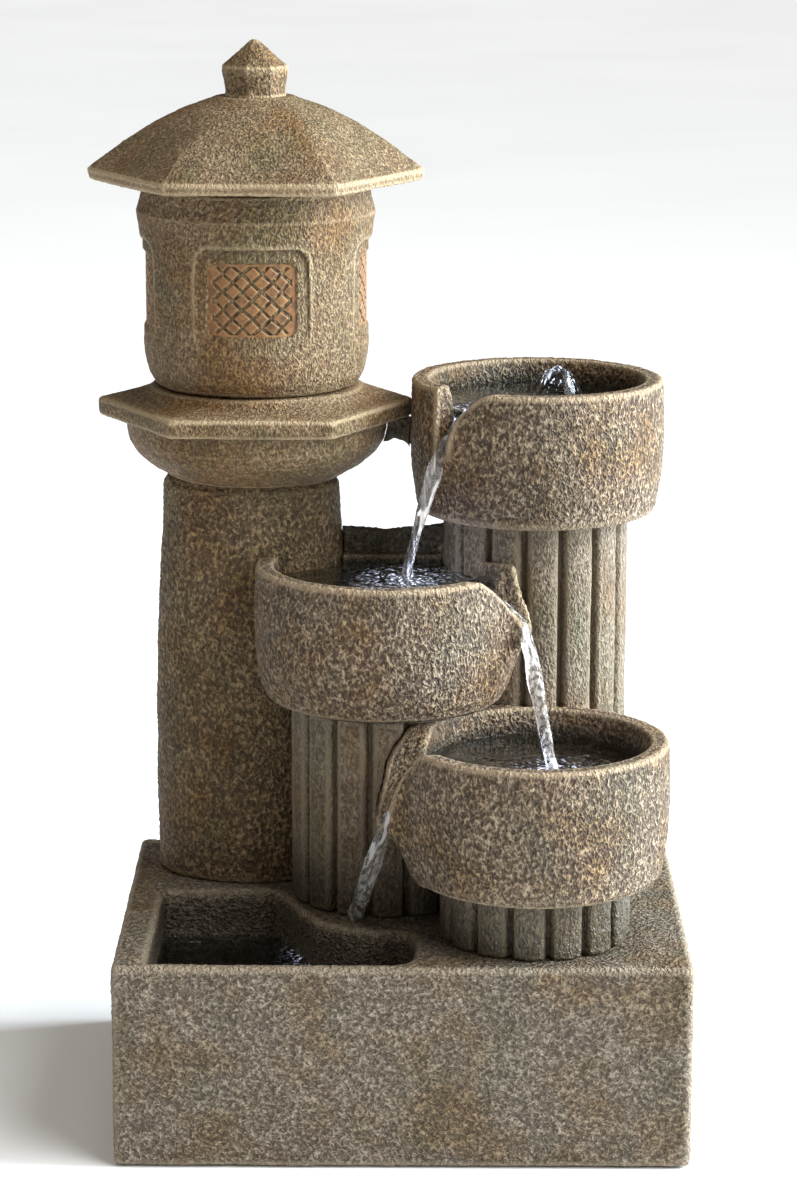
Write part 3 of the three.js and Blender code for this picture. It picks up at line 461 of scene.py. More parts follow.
# a darker copy of the stone for the back web and the platform link: painted shade, as both stand in
# shadow
SHADED_STONE = stone("dark_stone", [(62, 54, 43), (88, 79, 64), (118, 108, 89), (226, 200, 156),
                                  (190, 208, 182), (104, 93, 74)], 1.4, 1.25, 1.35)

# ---- Base
POOL = [(-97, -79), (-3, -79), (1.6, -76.4), (4, -69), (4.9, -58), (4.6, -48), (2, -42),
        (-3, -39.5), (-12, -40), (-23, -36.4), (-34, -27.7), (-41, -13), (-44.9, -0.8), (-48, 6.5),
        (-52.6, 12.4), (-96, 10.5)]


def base_field(g):
    middle = (BASE.top + BASE.bottom) / 2
    half = (BASE.w / 2, BASE.d / 2, (BASE.top - BASE.bottom) / 2)
    block = rounded_box(g, (0, 0, middle), half, BASE.corner)
    pool = outline_distance(g.x, g.y, POOL)
    pit = np.maximum(pool + BASE.lean * (g.z - BASE.top), SKIRT.low - 3 - g.z)
    return cut(block, pit, BASE.pool_edge)


def base_room(g):
    tall = 40  # half the room's height: it goes out through the open bottom
    half = (BASE.w / 2 - BASE.wall, BASE.d / 2 - BASE.wall, tall)
    inside = rounded_box(g, (0, 0, BASE.top - BASE.deck - tall), half, 2)
    skirt = np.maximum(outline_distance(g.x, g.y, POOL) - SKIRT.wall, SKIRT.low - g.z)
    inside = cut(inside, skirt)
    through = np.maximum(np.abs(g.z - BASE.top) - 8, 0 * g.x)
    lead_hole = 7
    for centre, r in ((TALL, COLUMN.bore - 2), (MID, lead_hole), (LOW, lead_hole)):
        hatch = np.maximum(plan_radius(g, centre) - r, through)
        inside = np.minimum(inside, hatch)
    for hole in (GROMMET, DRAIN):
        across = np.sqrt((g.x - hole.x) ** 2 + (g.z - hole.z) ** 2) - hole.r - 0.9
        inside = np.minimum(inside, np.maximum(across, np.abs(g.y - BASE.d / 2) - 8))
    return inside


def pool_damp(points, normals):
    x, y, z = points.T
    wet = smoothstep(-outline_distance(x, y, POOL), -2, 1) * smoothstep(-z, -80, -70)
    near = np.min([np.hypot(x - c.x, y - c.y) for c in (MID, LOW)], 0)
    splashed = 0.4 * smoothstep(-near, -COLUMN.r - 15, -COLUMN.r) * smoothstep(z, 78, 80)
    return np.clip(np.maximum(wet, splashed), 0, 1)


def pool_calm(points, normals):
    x, y, z = points.T
    deck = 0.15 * smoothstep(z, 78, 80)
    return np.maximum(0.75 * smoothstep(-outline_distance(x, y, POOL), -1.5, 1), deck)


casting("base_shell", "stone", BASE_STONE, (-110.5, -85.5, BASE.bottom),
        (110.5, 85.5, 81.2), base_field, step=1.12, spacing=3.1, tall=0.9, depth=0.4, lumps=0.3,
        calm=pool_calm, damp=pool_damp, seed=3, room=(base_room, (-108, -98, -12), (108, 98, 92)))


# ---- Lantern
def post_field(g, grow=0):
    """The oval post, or the space that its neighbours keep clear of."""
    profile = [(38.6, BASE.top + GAP), (38.9, 105), (39, 146), (38, 188), (35.9, 228),
               (35.5, 239.5), (33.4, POST.top)]
    profile = [(radius + grow, z) for radius, z in profile]
    return turned(plan_radius(g, POST, POST.deep), g.z, profile)


def post_room(g):
    profile = [(39 - POST.wall, BASE.top - 8), (35.4 - POST.wall, POST.top + 8)]
    return turned(plan_radius(g, POST, POST.deep), g.z, profile)


def hexagon(g, soft):
    """Half the distance across flats of a hexagon with a corner on +X, its corners softened."""
    x, y = g.x - LANTERN.x, g.y - LANTERN.y
    sides = (np.abs(y), np.abs(COS30 * x + 0.5 * y), np.abs(COS30 * x - 0.5 * y))
    return soft_max(soft_max(sides[0], sides[1], soft), sides[2], soft)


def platform_field(g):
    radius = plan_radius(g, LANTERN)
    bell = turned(radius, g.z, [
        (34.6, POST.top + GAP), (37, 245.2), (42, 248), (47.8, 253), (51, 258), (52, 262.5),
        (52, PLATFORM.z0 + 1)])
    flats = hexagon(g, 1.6)
    thick = np.abs(g.z - PLATFORM.slab) - PLATFORM.slab_half
    slab = soft_max(flats - PLATFORM.corner * COS30, thick, 1.0)
    rise = np.clip((g.z - PLATFORM.slope) / (PLATFORM.slope_top - PLATFORM.slope), 0, 1.3)
    slope = (flats - COS30 * (PLATFORM.corner - 1.2 - 16.2 * rise)) * 0.33
    slope = soft_max(slope, np.maximum(g.z - PLATFORM.slope_top, PLATFORM.z0 + 1.5 - g.z), 1.5)
    ring = turned(radius, g.z, [(46.5, 270), (45.4, 272), (44.8, 276.4), (42.6, 279), (41, 279.6)])
    body = soft_min(soft_min(slab, slope, 2.0), ring, 1.6)
    return clear_of(g, soft_min(body, bell, 3.0), TALL, TOP_BOWL.r)


def platform_room(g):
    return turned(plan_radius(g, LANTERN), g.z, [(27, 232), (27, 292)])


def firebox_field(g):
    radius = plan_radius(g, LANTERN)
    body = turned(radius, g.z, [
        (38.5, FIREBOX.bottom), (40.4, 281.1), (42.8, 285.4), (44.3, 292), (45, 300), (45.6, 334),
        (46.4, 343), (47.4, FIREBOX.shoulder), (46, 353.6), (45, 358.6), (FIREBOX.neck, 359.9),
        (FIREBOX.neck, FIREBOX.top)])
    x, y, z = g.x - LANTERN.x, g.y - LANTERN.y, g.z - WINDOW.z
    edge = 0.7  # how round the recesses' edges are
    for side in range(4):
        out = (math.sin(side * math.pi / 2), -math.cos(side * math.pi / 2))
        u, v = x * -out[1] + y * out[0], x * out[0] + y * out[1]
        front = np.maximum(-v, 0 * z)
        for half_w, half_h, corner, sink in (
                (WINDOW.w / 2, WINDOW.h / 2, WINDOW.corner, WINDOW.sink),
                (WINDOW.inner_w / 2, WINDOW.inner_h / 2, 4, WINDOW.panel + 0.7)):
            pane = rounded_pane(u, z, half_w, half_h, corner)
            recess = np.maximum(pane, WINDOW.r - sink - radius)
            body = cut(body, np.maximum(recess, front), edge)
    return body


def firebox_room(g):
    return turned(plan_radius(g, LANTERN), g.z, [
        (36, 272), (38, 292), (38.6, 334), (38.6, 346), (36, 357.6)])


def roof_radius(g):
    """The round radius that the roof's hexagonal outline was pressed from."""
    x, y = g.x - LANTERN.x, g.y - LANTERN.y
    radius = np.sqrt(x * x + y * y)
    angle = np.arctan2(y, x)
    within = np.mod(angle, math.pi / 3) - math.pi / 6
    corner = COS30 / np.cos(within)
    corner = corner - 0.018 * np.exp(-((np.abs(within) - math.pi / 6) ** 2) / 0.004)
    start = radius
    for _ in range(3):
        start = radius / (1 + (corner - 1) * smoothstep(start, ROOF_LINE[0][0], 62))
    return start


def roof_field(g):
    pressed, radius = roof_radius(g), plan_radius(g, LANTERN)
    shell = turned(pressed, g.z, [(67, EAVES)] + ROOF_LINE[::-1])
    shell = soft_max(shell, (EAVES - g.z) + 0 * pressed, 0.8)
    room = turned(radius, g.z, [(44.5, EAVES - 6), (44.5, 369), (38, 373), (26, 380.5), (6, 383)])
    collar = turned(radius, g.z, [(17.5, 388), (15.5, 393.4)])
    return cut(soft_min(shell, collar, 2.5), room)


def finial_field(g):
    """The finial, faintly eight-sided."""
    facet = math.pi / 4
    within = np.mod(np.arctan2(g.y - LANTERN.y, g.x - LANTERN.x) + 0.2, facet) - facet / 2
    radius = plan_radius(g, LANTERN) * (1 + 0.6 * (np.cos(within) / math.cos(facet / 4) - 1))
    profile = [(12.2, 393.4), (11.6, 395.4), (11.9, 398), (13, 403.6), (12.8, 405.4), (6.6, 410.8),
               (2.4, 414.8), (0.6, 415.8)]
    return turned(radius, g.z, profile)


def window_calm(points, normals):
    x, y, z = points.T
    u = np.minimum(np.abs(x - LANTERN.x), np.abs(y - LANTERN.y))
    near = rounded_pane(u, z - WINDOW.z, WINDOW.w / 2, WINDOW.h / 2, WINDOW.corner)
    return 0.8 * smoothstep(-near, -2.6, 0)


casting("lantern_post", "stone", POST_STONE, (-101, 19, BASE.top + GAP),
        (-22, 85, POST.top), post_field, spacing=3.4, tall=1.1, depth=0.5, lumps=0.6, seed=11,
        room=(post_room, (-96, 22, 70), (-27, 82, 254)))
casting("lantern_platform", "lantern_stone", LANTERN_STONE,
        (-123.5, -4.5, POST.top + GAP), (6, 108.5, PLATFORM.seat), platform_field, spacing=2.8,
        depth=0.28, lumps=0.4, seed=23, room=(platform_room, (-88, 22, 230), (-30, 82, 294)))
casting("lantern_firebox", "lantern_stone", LANTERN_STONE,
        (-108, 3, FIREBOX.bottom), (-10, 101, FIREBOX.top), firebox_field, step=0.72,
        spacing=2.4, tall=1.1, depth=0.25, lumps=0.3, calm=window_calm, seed=31,
        room=(firebox_room, (-100, 11, 270), (-18, 93, 360)))
casting("lantern_roof", "lantern_stone", LANTERN_STONE, (-127.1, -8, EAVES),
        (9, 111, 394), roof_field, step=0.9, spacing=2.8, tall=1.0, depth=0.3, lumps=0.35, seed=43)
casting("lantern_finial", "lantern_stone", LANTERN_STONE,
        (-73, 38, 393.4), (-45, 66, 415.8), finial_field, step=0.5, spacing=2.6, depth=0.3,
        lumps=0.2, seed=47)


def amber_lattice():
    """Amber paint, with painted shade in the grooves between the diamonds, and lighter edges that
    are wear and painted highlight.
    """
    m = Material("lattice", 0.55, Specular_IOR_Level=0.5)
    mark, rim = m.attribute("relief"), m.attribute("edge")
    amber = m.ramp(m.noise(5.5, 3, 0.6), [(0.3, tone(78, 50, 24)), (0.5, tone(126, 84, 43)),
                                          (0.7, tone(150, 110, 64))])
    grime = m.noise(1.2, 4, 0.7)
    amber = m.mix(m.span(grime, 0.4, 0.7, 0, 0.45), amber, tone(70, 50, 30))
    # painted shade: the grooves between the diamonds made nearly black
    amber = m.mix(m.span(mark, 0.35, 0.8, 0.85, 0), amber, tone(26, 16, 9))
    # lighter edges: wear and a painted highlight
    m.colour(m.mix(m.span(rim, 0.06, 0.3, 0, 0.7), amber, tone(156, 118, 70)))
    m.bump(grime, 0.4, 0.5)
    return m.material


def lattice_panels():
    """The four amber lattice panels, each a curved tile of small raised diamonds."""
    cell_w, cell_h, groove, raised = 7.6, 7.0, 0.42, 0.75
    face = WINDOW.r - WINDOW.panel
    material = amber_lattice()
    half_w, half_h = WINDOW.inner_w / 2, WINDOW.inner_h / 2
    margin = 0.6
    g = Lattice((-half_w - margin, -1.5, -half_h - margin), (half_w + margin, 1.2, half_h + margin),
                0.3 * COARSE)
    wobble = 0.5 * np.sin(g.x * 0.41 + 1.2) * np.sin(g.z * 0.37)
    a = (g.x + wobble) / cell_w + g.z / cell_h
    b = (g.x + wobble) / cell_w - g.z / cell_h
    pitch = 1 / math.hypot(1 / cell_w, 1 / cell_h)
    line = np.minimum(np.abs(a - np.round(a)), np.abs(b - np.round(b))) * pitch
    border = rounded_pane(g.x, g.z, half_w - 1.5, half_h - 1.2, 3)
    line = np.where(border > 0, np.maximum(line, groove + border), line)
    proud = smoothstep(line, groove * 0.5, groove * 2.1)
    slab = np.maximum(g.y - raised * proud, -1 - g.y)
    edge_of_tile = rounded_pane(g.x, g.z, half_w + 0.5, half_h + 0.5, 4)
    values = soft_max(np.broadcast_to(slab, g.shape), np.broadcast_to(edge_of_tile, g.shape), 0.4)
    points, quads = polygonise(g, values)
    mark = sampled(g, np.broadcast_to(proud, g.shape), points)
    width = 0.6
    soft = blurred(values.astype(np.float32), max(1, round(width / g.step)))
    edge = (sampled(g, soft, points) - sampled(g, values, points)) / width
    radius = face - 0.55 + points[:, 1]
    for side in range(4):
        angle = points[:, 0] / face + side * math.pi / 2
        placed = np.stack([LANTERN.x + radius * np.sin(angle), LANTERN.y - radius * np.cos(angle),
                           WINDOW.z + points[:, 2]], 1)
        tile = add_mesh(f"lattice_panel_{side + 1}", placed, quads[:, ::-1])
        set_attribute(tile, "relief", mark)
        set_attribute(tile, "edge", edge)
        tile.data.materials.append(material)
        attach(tile, ROOT)


lattice_panels()


# ---- Columns
def reeded_radius(g, column):
    x, y = g.x - column.x, g.y - column.y
    turn = np.arctan2(y, x) + math.pi / 2 - math.radians(column.groove)
    pitch = 2 * math.pi / COLUMN.ribs
    away = np.abs(turn / pitch - np.round(turn / pitch)) * pitch * COLUMN.r
    groove = COLUMN.reed * (1 - smoothstep(away, 0.5, 2.1))
    crown = COLUMN.crown * (1 - np.minimum(away / 7.7, 1)) ** 2
    return np.sqrt(x * x + y * y) + groove + crown


def column_field(g, column):
    profile = [(COLUMN.r, BASE.top + GAP), (COLUMN.r, column.top)]
    return turned(reeded_radius(g, column), g.z, profile)


def door_box(g, grow):
    middle = (DOOR.z0 + DOOR.z1) / 2
    high = (DOOR.z1 - DOOR.z0) / 2 + grow
    across = np.maximum(np.abs(g.x - TALL.x) - DOOR.half - grow, np.abs(g.z - middle) - high)
    return np.maximum(across, TALL.y + DOOR.depth - g.y)


def tall_field(g):
    return cut(column_field(g, TALL), door_box(g, DOOR.gap))


def door_field(g):
    body = soft_max(column_field(g, TALL), door_box(g, 0) + 0 * g.x, 0.8)
    body = np.maximum(body, COLUMN.bore - plan_radius(g, TALL))
    notch = np.sqrt((g.x - TALL.x) ** 2 + (g.y - TALL.y - COLUMN.r) ** 2) - DOOR.notch
    return cut(body, np.maximum(notch, DOOR.z1 - 3 - g.z))


def middle_field(g):
    body = clear_of(g, column_field(g, MID), TALL, COLUMN.r)
    return np.maximum(cut(body, post_field(g, GAP)), GAP - lower_bowl_body(g))


def column_bore(column, g):
    profile = [(COLUMN.bore, BASE.top - 8), (COLUMN.bore, column.top + 8)]
    return turned(plan_radius(g, column), g.z, profile)


def column_room(column):
    reach = COLUMN.bore + 2
    return (partial(column_bore, column), (column.x - reach, column.y - reach, BASE.top - 12),
            (column.x + reach, column.y + reach, column.top + 12))


def column_calm(column, points, normals):
    x, y = points[:, 0] - column.x, points[:, 1] - column.y
    radius = np.hypot(x, y)
    facing = (normals[:, 0] * x + normals[:, 1] * y) / np.maximum(radius, 1)
    skin = smoothstep(radius, COLUMN.r - 3.4, COLUMN.r - 1.2)
    return 1 - 0.85 * skin * smoothstep(facing, 0.3, 0.8)


def column_damp(points, normals):
    return 0.8 * smoothstep(-points[:, 2], -120, -84)


def add_column(node, column, field, seed, **extra):
    reach = COLUMN.r + 0.6
    low = (column.x - reach, column.y - reach, BASE.top + GAP)
    high = (column.x + reach, column.y + reach, column.top)
    casting(node, "stone", COLUMN_STONE, low, high, field, spacing=3.2, tall=1.8,
            depth=0.4, lumps=0.3, calm=partial(column_calm, column), damp=column_damp, seed=seed,
            **extra)


# ---- Bowls
def spout_axes(x, y, bowl, centre):
    """Distance out along the spout's bearing, and across it."""
    bearing = math.radians(bowl.bearing)
    dx, dy = x - centre.x, y - centre.y
    out = dx * math.sin(bearing) - dy * math.cos(bearing)
    across = dx * math.cos(bearing) + dy * math.sin(bearing)
    return out, across


def channel(g, bowl, centre):
    """The space of the spout's channel, open at the top."""
    out, across = spout_axes(g.x, g.y, bowl, centre)
    (r0, z0), (r1, z1) = bowl.inner, bowl.outer
    floor = z0 + (z1 - z0) * (out - r0) / (r1 - r0)
    tall = np.maximum(bowl.rim - floor, 4)
    share = np.clip((g.z - floor) / tall, 0, 1.3)
    narrow = 2.6  # half the channel's width at its floor
    (left, left_power), (right, right_power) = bowl.left, bowl.right
    right_side = across - narrow - (right - narrow) * share**right_power
    left_side = -across - narrow - (left - narrow) * share**left_power
    space = soft_max(np.maximum(right_side, left_side) * 0.8, floor - g.z, 2.5)
    return np.maximum(space, 30 - out)


def bowl_outer(g, bowl, centre):
    r, rim, foot = bowl.r, bowl.rim, bowl.foot
    z = centre.top + GAP
    profile = [(r - 3.5 - foot, z), (r - 3.2 - foot * 0.3, z + foot * 0.3), (r - 2.8, z + foot),
               (r - 0.6, z + 18), (r, z + 32), (r - 0.4, rim - 8), (r - 0.7, rim - 1),
               (r - 1.4, rim)]
    return turned(plan_radius(g, centre), g.z, profile)


def bowl_inner(g, bowl, centre):
    inner = bowl.r - BOWL.wall
    z = centre.top + BOWL.floor
    profile = [(inner - 14, z), (inner - 5, z + 3), (inner - 0.6, z + 11), (inner, bowl.rim - 4),
               (inner + 1.2, bowl.rim + 1), (inner + 1.2, bowl.rim + 20)]
    return turned(plan_radius(g, centre), g.z, profile)


def beak(g, bowl, centre):
    """The wedge that carries the channel out past the wall, narrowing to its tip."""
    out, across = spout_axes(g.x, g.y, bowl, centre)
    tip_out, tip_z = bowl.r + bowl.reach, bowl.outer[1] + 1.5
    root_out, nose = 28, 5.5
    share = np.clip((out - root_out) / (tip_out - nose - root_out), 0, 1)
    middle = root_out + share * (tip_out - nose - root_out)
    plan = np.sqrt((out - middle) ** 2 + across**2) - (bowl.root + (nose - bowl.root) * share)
    brow = bowl.r - 3
    fall = np.clip((out - brow) / (tip_out - brow), 0, 1.5)
    top = bowl.rim + (tip_z + 2.5 - bowl.rim) * fall
    under = tip_z - 3.5 - bowl.deep * np.clip((tip_out - out) / (bowl.reach + 5), 0, 1.5)
    body = soft_max(plan, (g.z - top) * 0.6, 1.5)
    return soft_max(body, (under - g.z) * 0.5, 3.0)


def shoulder(g):
    """The broad sloping shoulder that carries the lower bowl's rim back to the middle column."""
    plan = [(46, -8), (46, 14), (20, 10), (-2, -6), (-10, -20), (-12, -36), (-10, -47), (6, -56),
            (14, -40)]
    top = np.interp(g.x, [-10, -7.5, -6.5, -3.5, -0.5, 5, 11],
                    [128, 137, 144, 150, 153, 157.5, 159.4])
    low = np.interp(g.x, [-20, 10, 20], [120, 126, 112])
    body = soft_max(outline_distance(g.x, g.y, plan), (g.z - top) * 0.75, 2.5)
    body = soft_max(body, (low - g.z) * 0.9, 6.0)
    foot = LOW_BOWL.inner[1]
    slope = plan_radius(g, LOW) - (LOW_BOWL.r - BOWL.wall + g.z - foot)
    return cut(body, np.maximum(slope, foot - 1 - g.z), 1.5)


def lower_bowl_body(g):
    body = soft_min(bowl_outer(g, LOW_BOWL, LOW), beak(g, LOW_BOWL, LOW), 6.0)
    return soft_min(body, shoulder(g), 6.0)


def top_bowl_field(g):
    body = soft_min(bowl_outer(g, TOP_BOWL, TALL), beak(g, TOP_BOWL, TALL), 5.0)
    body = cut(body, bowl_inner(g, TOP_BOWL, TALL), 1.0)
    body = cut(body, channel(g, TOP_BOWL, TALL), 1.0)
    return cut(body, np.maximum(plan_radius(g, OUTLET) - OUTLET.r, g.z - OUTLET.top))


def middle_bowl_field(g):
    body = soft_min(bowl_outer(g, MID_BOWL, MID), beak(g, MID_BOWL, MID), 6.0)
    out, across = spout_axes(g.x, g.y, MID_BOWL, MID)
    flat = np.sqrt(((out - CHEEK.out) / 1.2) ** 2 + (across - CHEEK.across) ** 2
                   + ((g.z - CHEEK.z) * 0.55) ** 2)
    cheek = flat - CHEEK.r
    crest = g.z - CHEEK.top + 0.8 * np.maximum(out - 38, 0)
    body = soft_min(body, soft_max(cheek, crest, 3.0), 3.0)
    body = cut(body, soft_max(bowl_inner(g, MID_BOWL, MID), 1.5 - cheek, 3.0), 1.0)
    ledge = np.maximum(LEDGE.y - g.y, g.z - LEDGE.top) + 0 * g.x
    ledge = soft_max(ledge, plan_radius(g, MID) - LEDGE.r, 2.0)
    body = soft_min(body, np.maximum(ledge, LEDGE.bottom - g.z), 2.0)
    body = cut(body, channel(g, MID_BOWL, MID), 1.0)
    body = cut(body, post_field(g, 2 * GAP))
    return np.maximum(clear_of(g, body, TALL, COLUMN.r, BOWL_GAP), g.y - WEB.y0 + GAP)


def lower_bowl_field(g):
    body = cut(lower_bowl_body(g), bowl_inner(g, LOW_BOWL, LOW), 1.0)
    body = cut(body, channel(g, LOW_BOWL, LOW), 1.2)
    bore = np.maximum(plan_radius(g, MID) - COLUMN.bore, g.z - MID.top - 1)
    return clear_of(g, cut(body, bore), TALL, COLUMN.r, BOWL_GAP)


def bowl_calm(bowl, centre, points, normals):
    x, y, z = points.T
    radius = np.hypot(x - centre.x, y - centre.y)
    inside = smoothstep(-radius, -(bowl.r - 3), -(bowl.r - 6))
    inside = inside * smoothstep(z, centre.top + 2, centre.top + 5)
    out, across = spout_axes(x, y, bowl, centre)
    near = np.hypot(np.hypot(out - bowl.r, across * 0.8), (z - bowl.outer[1] - 3))
    lip = 1 - smoothstep(near, 5, 17)
    under = smoothstep(-normals[:, 2], 0.6, 0.9)
    return np.clip(np.maximum(np.maximum(0.7 * inside, 0.75 * lip), under), 0, 1)


def bowl_damp(bowl, centre, points, normals):
    x, y, z = points.T
    radius = np.hypot(x - centre.x, y - centre.y)
    inside = smoothstep(-radius, -(bowl.r - 5), -(bowl.r - 8))
    return inside * (0.12 + 0.88 * smoothstep(-z, -(bowl.water + 6), -(bowl.water + 1)))


def add_bowl(node, bowl, centre, field, seed, further_left=0):
    reach = bowl.r + bowl.reach + 2
    low = (centre.x - reach - further_left, centre.y - reach, centre.top + GAP)
    high = (centre.x + reach, centre.y + reach, bowl.rim + 0.4)
    casting(node, "stone", STONE, low, high, field, spacing=3.0, tall=1.4, depth=0.45,
            lumps=0.25, calm=partial(bowl_calm, bowl, centre),
            damp=partial(bowl_damp, bowl, centre), seed=seed)


add_bowl("top_bowl", TOP_BOWL, TALL, top_bowl_field, 71)
add_bowl("middle_bowl", MID_BOWL, MID, middle_bowl_field, 73)
add_bowl("lower_bowl", LOW_BOWL, LOW, lower_bowl_field, 79, further_left=6)

add_column("tall_column", TALL, tall_field, 53, room=column_room(TALL))
add_column("access_door", TALL, door_field, 53, body="access_door")
add_column("middle_column", MID, middle_field, 59, room=column_room(MID))
add_column("lower_column", LOW, partial(column_field, column=LOW), 61, room=column_room(LOW))


# ---- Walls between the columns
def web_field(g):
    top = np.interp(g.x, [-40, -26, -8, 30], [228, 221, 219.6, 223.5])
    thick = np.abs(g.y - (WEB.y0 + WEB.y1) / 2) - (WEB.y1 - WEB.y0) / 2
    body = soft_max(thick, g.z - top, 2.2)
    body = np.maximum(body, np.maximum(WEB.x0 - g.x, g.x - WEB.x1))
    body = np.maximum(body, BASE.top + GAP - g.z)
    body = clear_of(g, cut(body, post_field(g, GAP)), TALL, COLUMN.r)
    middle = np.maximum(plan_radius(g, MID) - COLUMN.r - GAP, g.z - MID.top - 1)
    return cut(body, middle)


LINK = [(-14, 268), (-11, 255.5), (-3.8, 258), (0, 256.6), (3.4, 253), (9, 250), (9, 273),
        (-2, 271)]


def link_field(g):
    middle, half = 50, 4
    body = soft_max(outline_distance(g.x, g.z, LINK), np.abs(g.y - middle) - half, 1.6)
    return clear_of(g, np.maximum(body, -platform_field(g) + GAP), TALL, TOP_BOWL.r)


casting("back_web", "dark_stone", SHADED_STONE,
        (WEB.x0, WEB.y0 - 0.4, BASE.top + GAP), (WEB.x1, WEB.y1 + 0.4, 227), web_field, step=1.0,
        spacing=3.6, depth=0.6, lumps=0.4, seed=83)
casting("platform_link", "dark_stone", SHADED_STONE, (-14, 45.5, 249),
        (9, 54.5, 273), link_field, step=0.8, spacing=3.0, depth=0.5, lumps=0.3, seed=89)


# ---- Water
def clear_water():
    """Clear water, with painted glints where a stream lands: bright flecks given by emission and a
    bluish colour, standing in for the glitter of the lights below.
    """
    m = Material("water", 0.02, IOR=1.333, Transmission_Weight=1.0, Specular_IOR_Level=0.5)
    splash_glint = m.attribute("splash_glint")
    # painted glints: emission and a bluish colour on noise, where the water is broken up
    painted_glints = m.math("MULTIPLY", m.span(m.noise(1.9, 2, 0.6, (1, 1, 0.4)), 0.6, 0.66), splash_glint)
    m.colour(m.mix(painted_glints, tone(214, 216, 206), tone(226, 232, 255)))
    m.inputs["Emission Color"].default_value = tone(222, 229, 255)
    m.feed(m.inputs["Emission Strength"], m.math("MULTIPLY", painted_glints, 3.0))
    m.rough(m.span(splash_glint, 0, 1, 0.02, 0.16))
    return m.material


def streaked_water():
    m = Material("stream", 0.04, IOR=1.333, Specular_IOR_Level=0.5, Base_Color=tone(236, 232, 228))
    # light, less clear streaks in the stream: painted reflection of the bright surroundings
    streak = m.noise(2.2, 1, 0.5, (1, 1, 0.1), 0.2)
    m.feed(m.inputs["Transmission Weight"], m.span(streak, 0.46, 0.62, 0.96, 0.55))
    m.bump(streak, 0.35, 0.5)
    return m.material


WATER, STREAM = clear_water(), streaked_water()


def ripples(x, y, landing, seed):
    """Heights of the ripples round a landing, and how strongly the water is broken up there, which
    also places the painted glints.
    """
    away = np.hypot(x - landing[0], y - landing[1])
    rings = 0.3 * np.cos(away * 1.15) * np.exp(-away / 13)
    places = np.stack([x / 3.2, y / 3.2, np.zeros_like(x)], 1)
    chop = lattice_noise(places, seed) * (0.04 + 0.7 * np.exp(-away / 9))
    swell = lattice_noise(places * 0.28, seed + 1) * 0.25
    return rings + chop + swell, np.exp(-((away / 13) ** 2))


def ring_quads(rings, sides):
    """Faces between rings of points that are numbered one ring after another."""
    i, j = np.meshgrid(np.arange(rings - 1), np.arange(sides), indexing="ij")
    a, b = i * sides + j, i * sides + (j + 1) % sides
    return np.stack([a, a + sides, b + sides, b], -1).reshape(-1, 4)


def fan(hub, ring):
    """Triangles from one point to a closed ring."""
    return np.stack([np.full(len(ring), hub), ring, np.roll(ring, -1)], 1)


def add_water(name, points, face_groups, splash_glint, material=WATER):
    faces = [face for group in face_groups for face in group.tolist()]
    mesh = bpy.data.meshes.new(name)
    mesh.from_pydata((points * MM).tolist(), [], faces)
    mesh.polygons.foreach_set("use_smooth", np.full(len(faces), True))
    thing = place(name, mesh)
    set_attribute(thing, "splash_glint", splash_glint)
    mesh.materials.append(material)
    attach(thing, ROOT)


def bowl_water(name, bowl, centre, landing, seed, bubble=None):
    """The water held in a bowl: a rippled disc, 6 mm deep so that it is a closed body."""
    level, inner = bowl.water, bowl.r - BOWL.wall + 0.6
    rings, spokes = 70, 160
    radius = inner * np.sqrt(np.linspace(0.0006, 1, rings))
    angle = np.arange(spokes) * 2 * math.pi / spokes
    x = (centre.x + radius[:, None] * np.cos(angle)).ravel()
    y = (centre.y + radius[:, None] * np.sin(angle)).ravel()
    height, splash_glint = ripples(x, y, landing, seed)
    fade = np.repeat(smoothstep(-radius, -inner, -inner + 3), spokes)
    if bubble:
        away = np.hypot(x - bubble.x, y - bubble.y)
        lump = lattice_noise(np.stack([x / 5, y / 5, np.zeros_like(x)], 1), seed + 5)
        height = height + (10.2 + 1.2 * lump) / (1 + (away / 7.4) ** 7)
        height = height + 1.6 * np.exp(-((away / 2.6) ** 2))
        # painted glints and rougher water round the bubble
        splash_glint = np.maximum(splash_glint, 0.8 * smoothstep(-away, -11, -5))
    if centre is MID:  # the back wall and the tall column stand in this bowl's round
        y = np.minimum(y, WEB.y0 - 0.2)
        shut = np.hypot(x - TALL.x, y - TALL.y) < COLUMN.r
        skin = TALL.x - np.sqrt(np.maximum(COLUMN.r**2 - (y - TALL.y) ** 2, 0))
        x = np.where(shut, skin, x)
    top = np.stack([x, y, level + height * (0.35 + 0.65 * fade)], 1)
    below = np.stack([x, y, np.full_like(x, level - 6)], 1)
    points = np.concatenate([top, below, [top[:spokes].mean(0), below[:spokes].mean(0)]])
    count = rings * spokes
    quads = ring_quads(rings, spokes)
    inmost, rim = np.arange(spokes), (rings - 1) * spokes + np.arange(spokes)
    walls = np.stack([rim, rim + count, np.roll(rim, -1) + count, np.roll(rim, -1)], 1)
    under = fan(2 * count + 1, inmost + count)[:, [0, 2, 1]]
    add_water(name, points, [quads, quads[:, ::-1] + count, walls, fan(2 * count, inmost), under],
              np.concatenate([splash_glint, splash_glint, [0, 0]]))


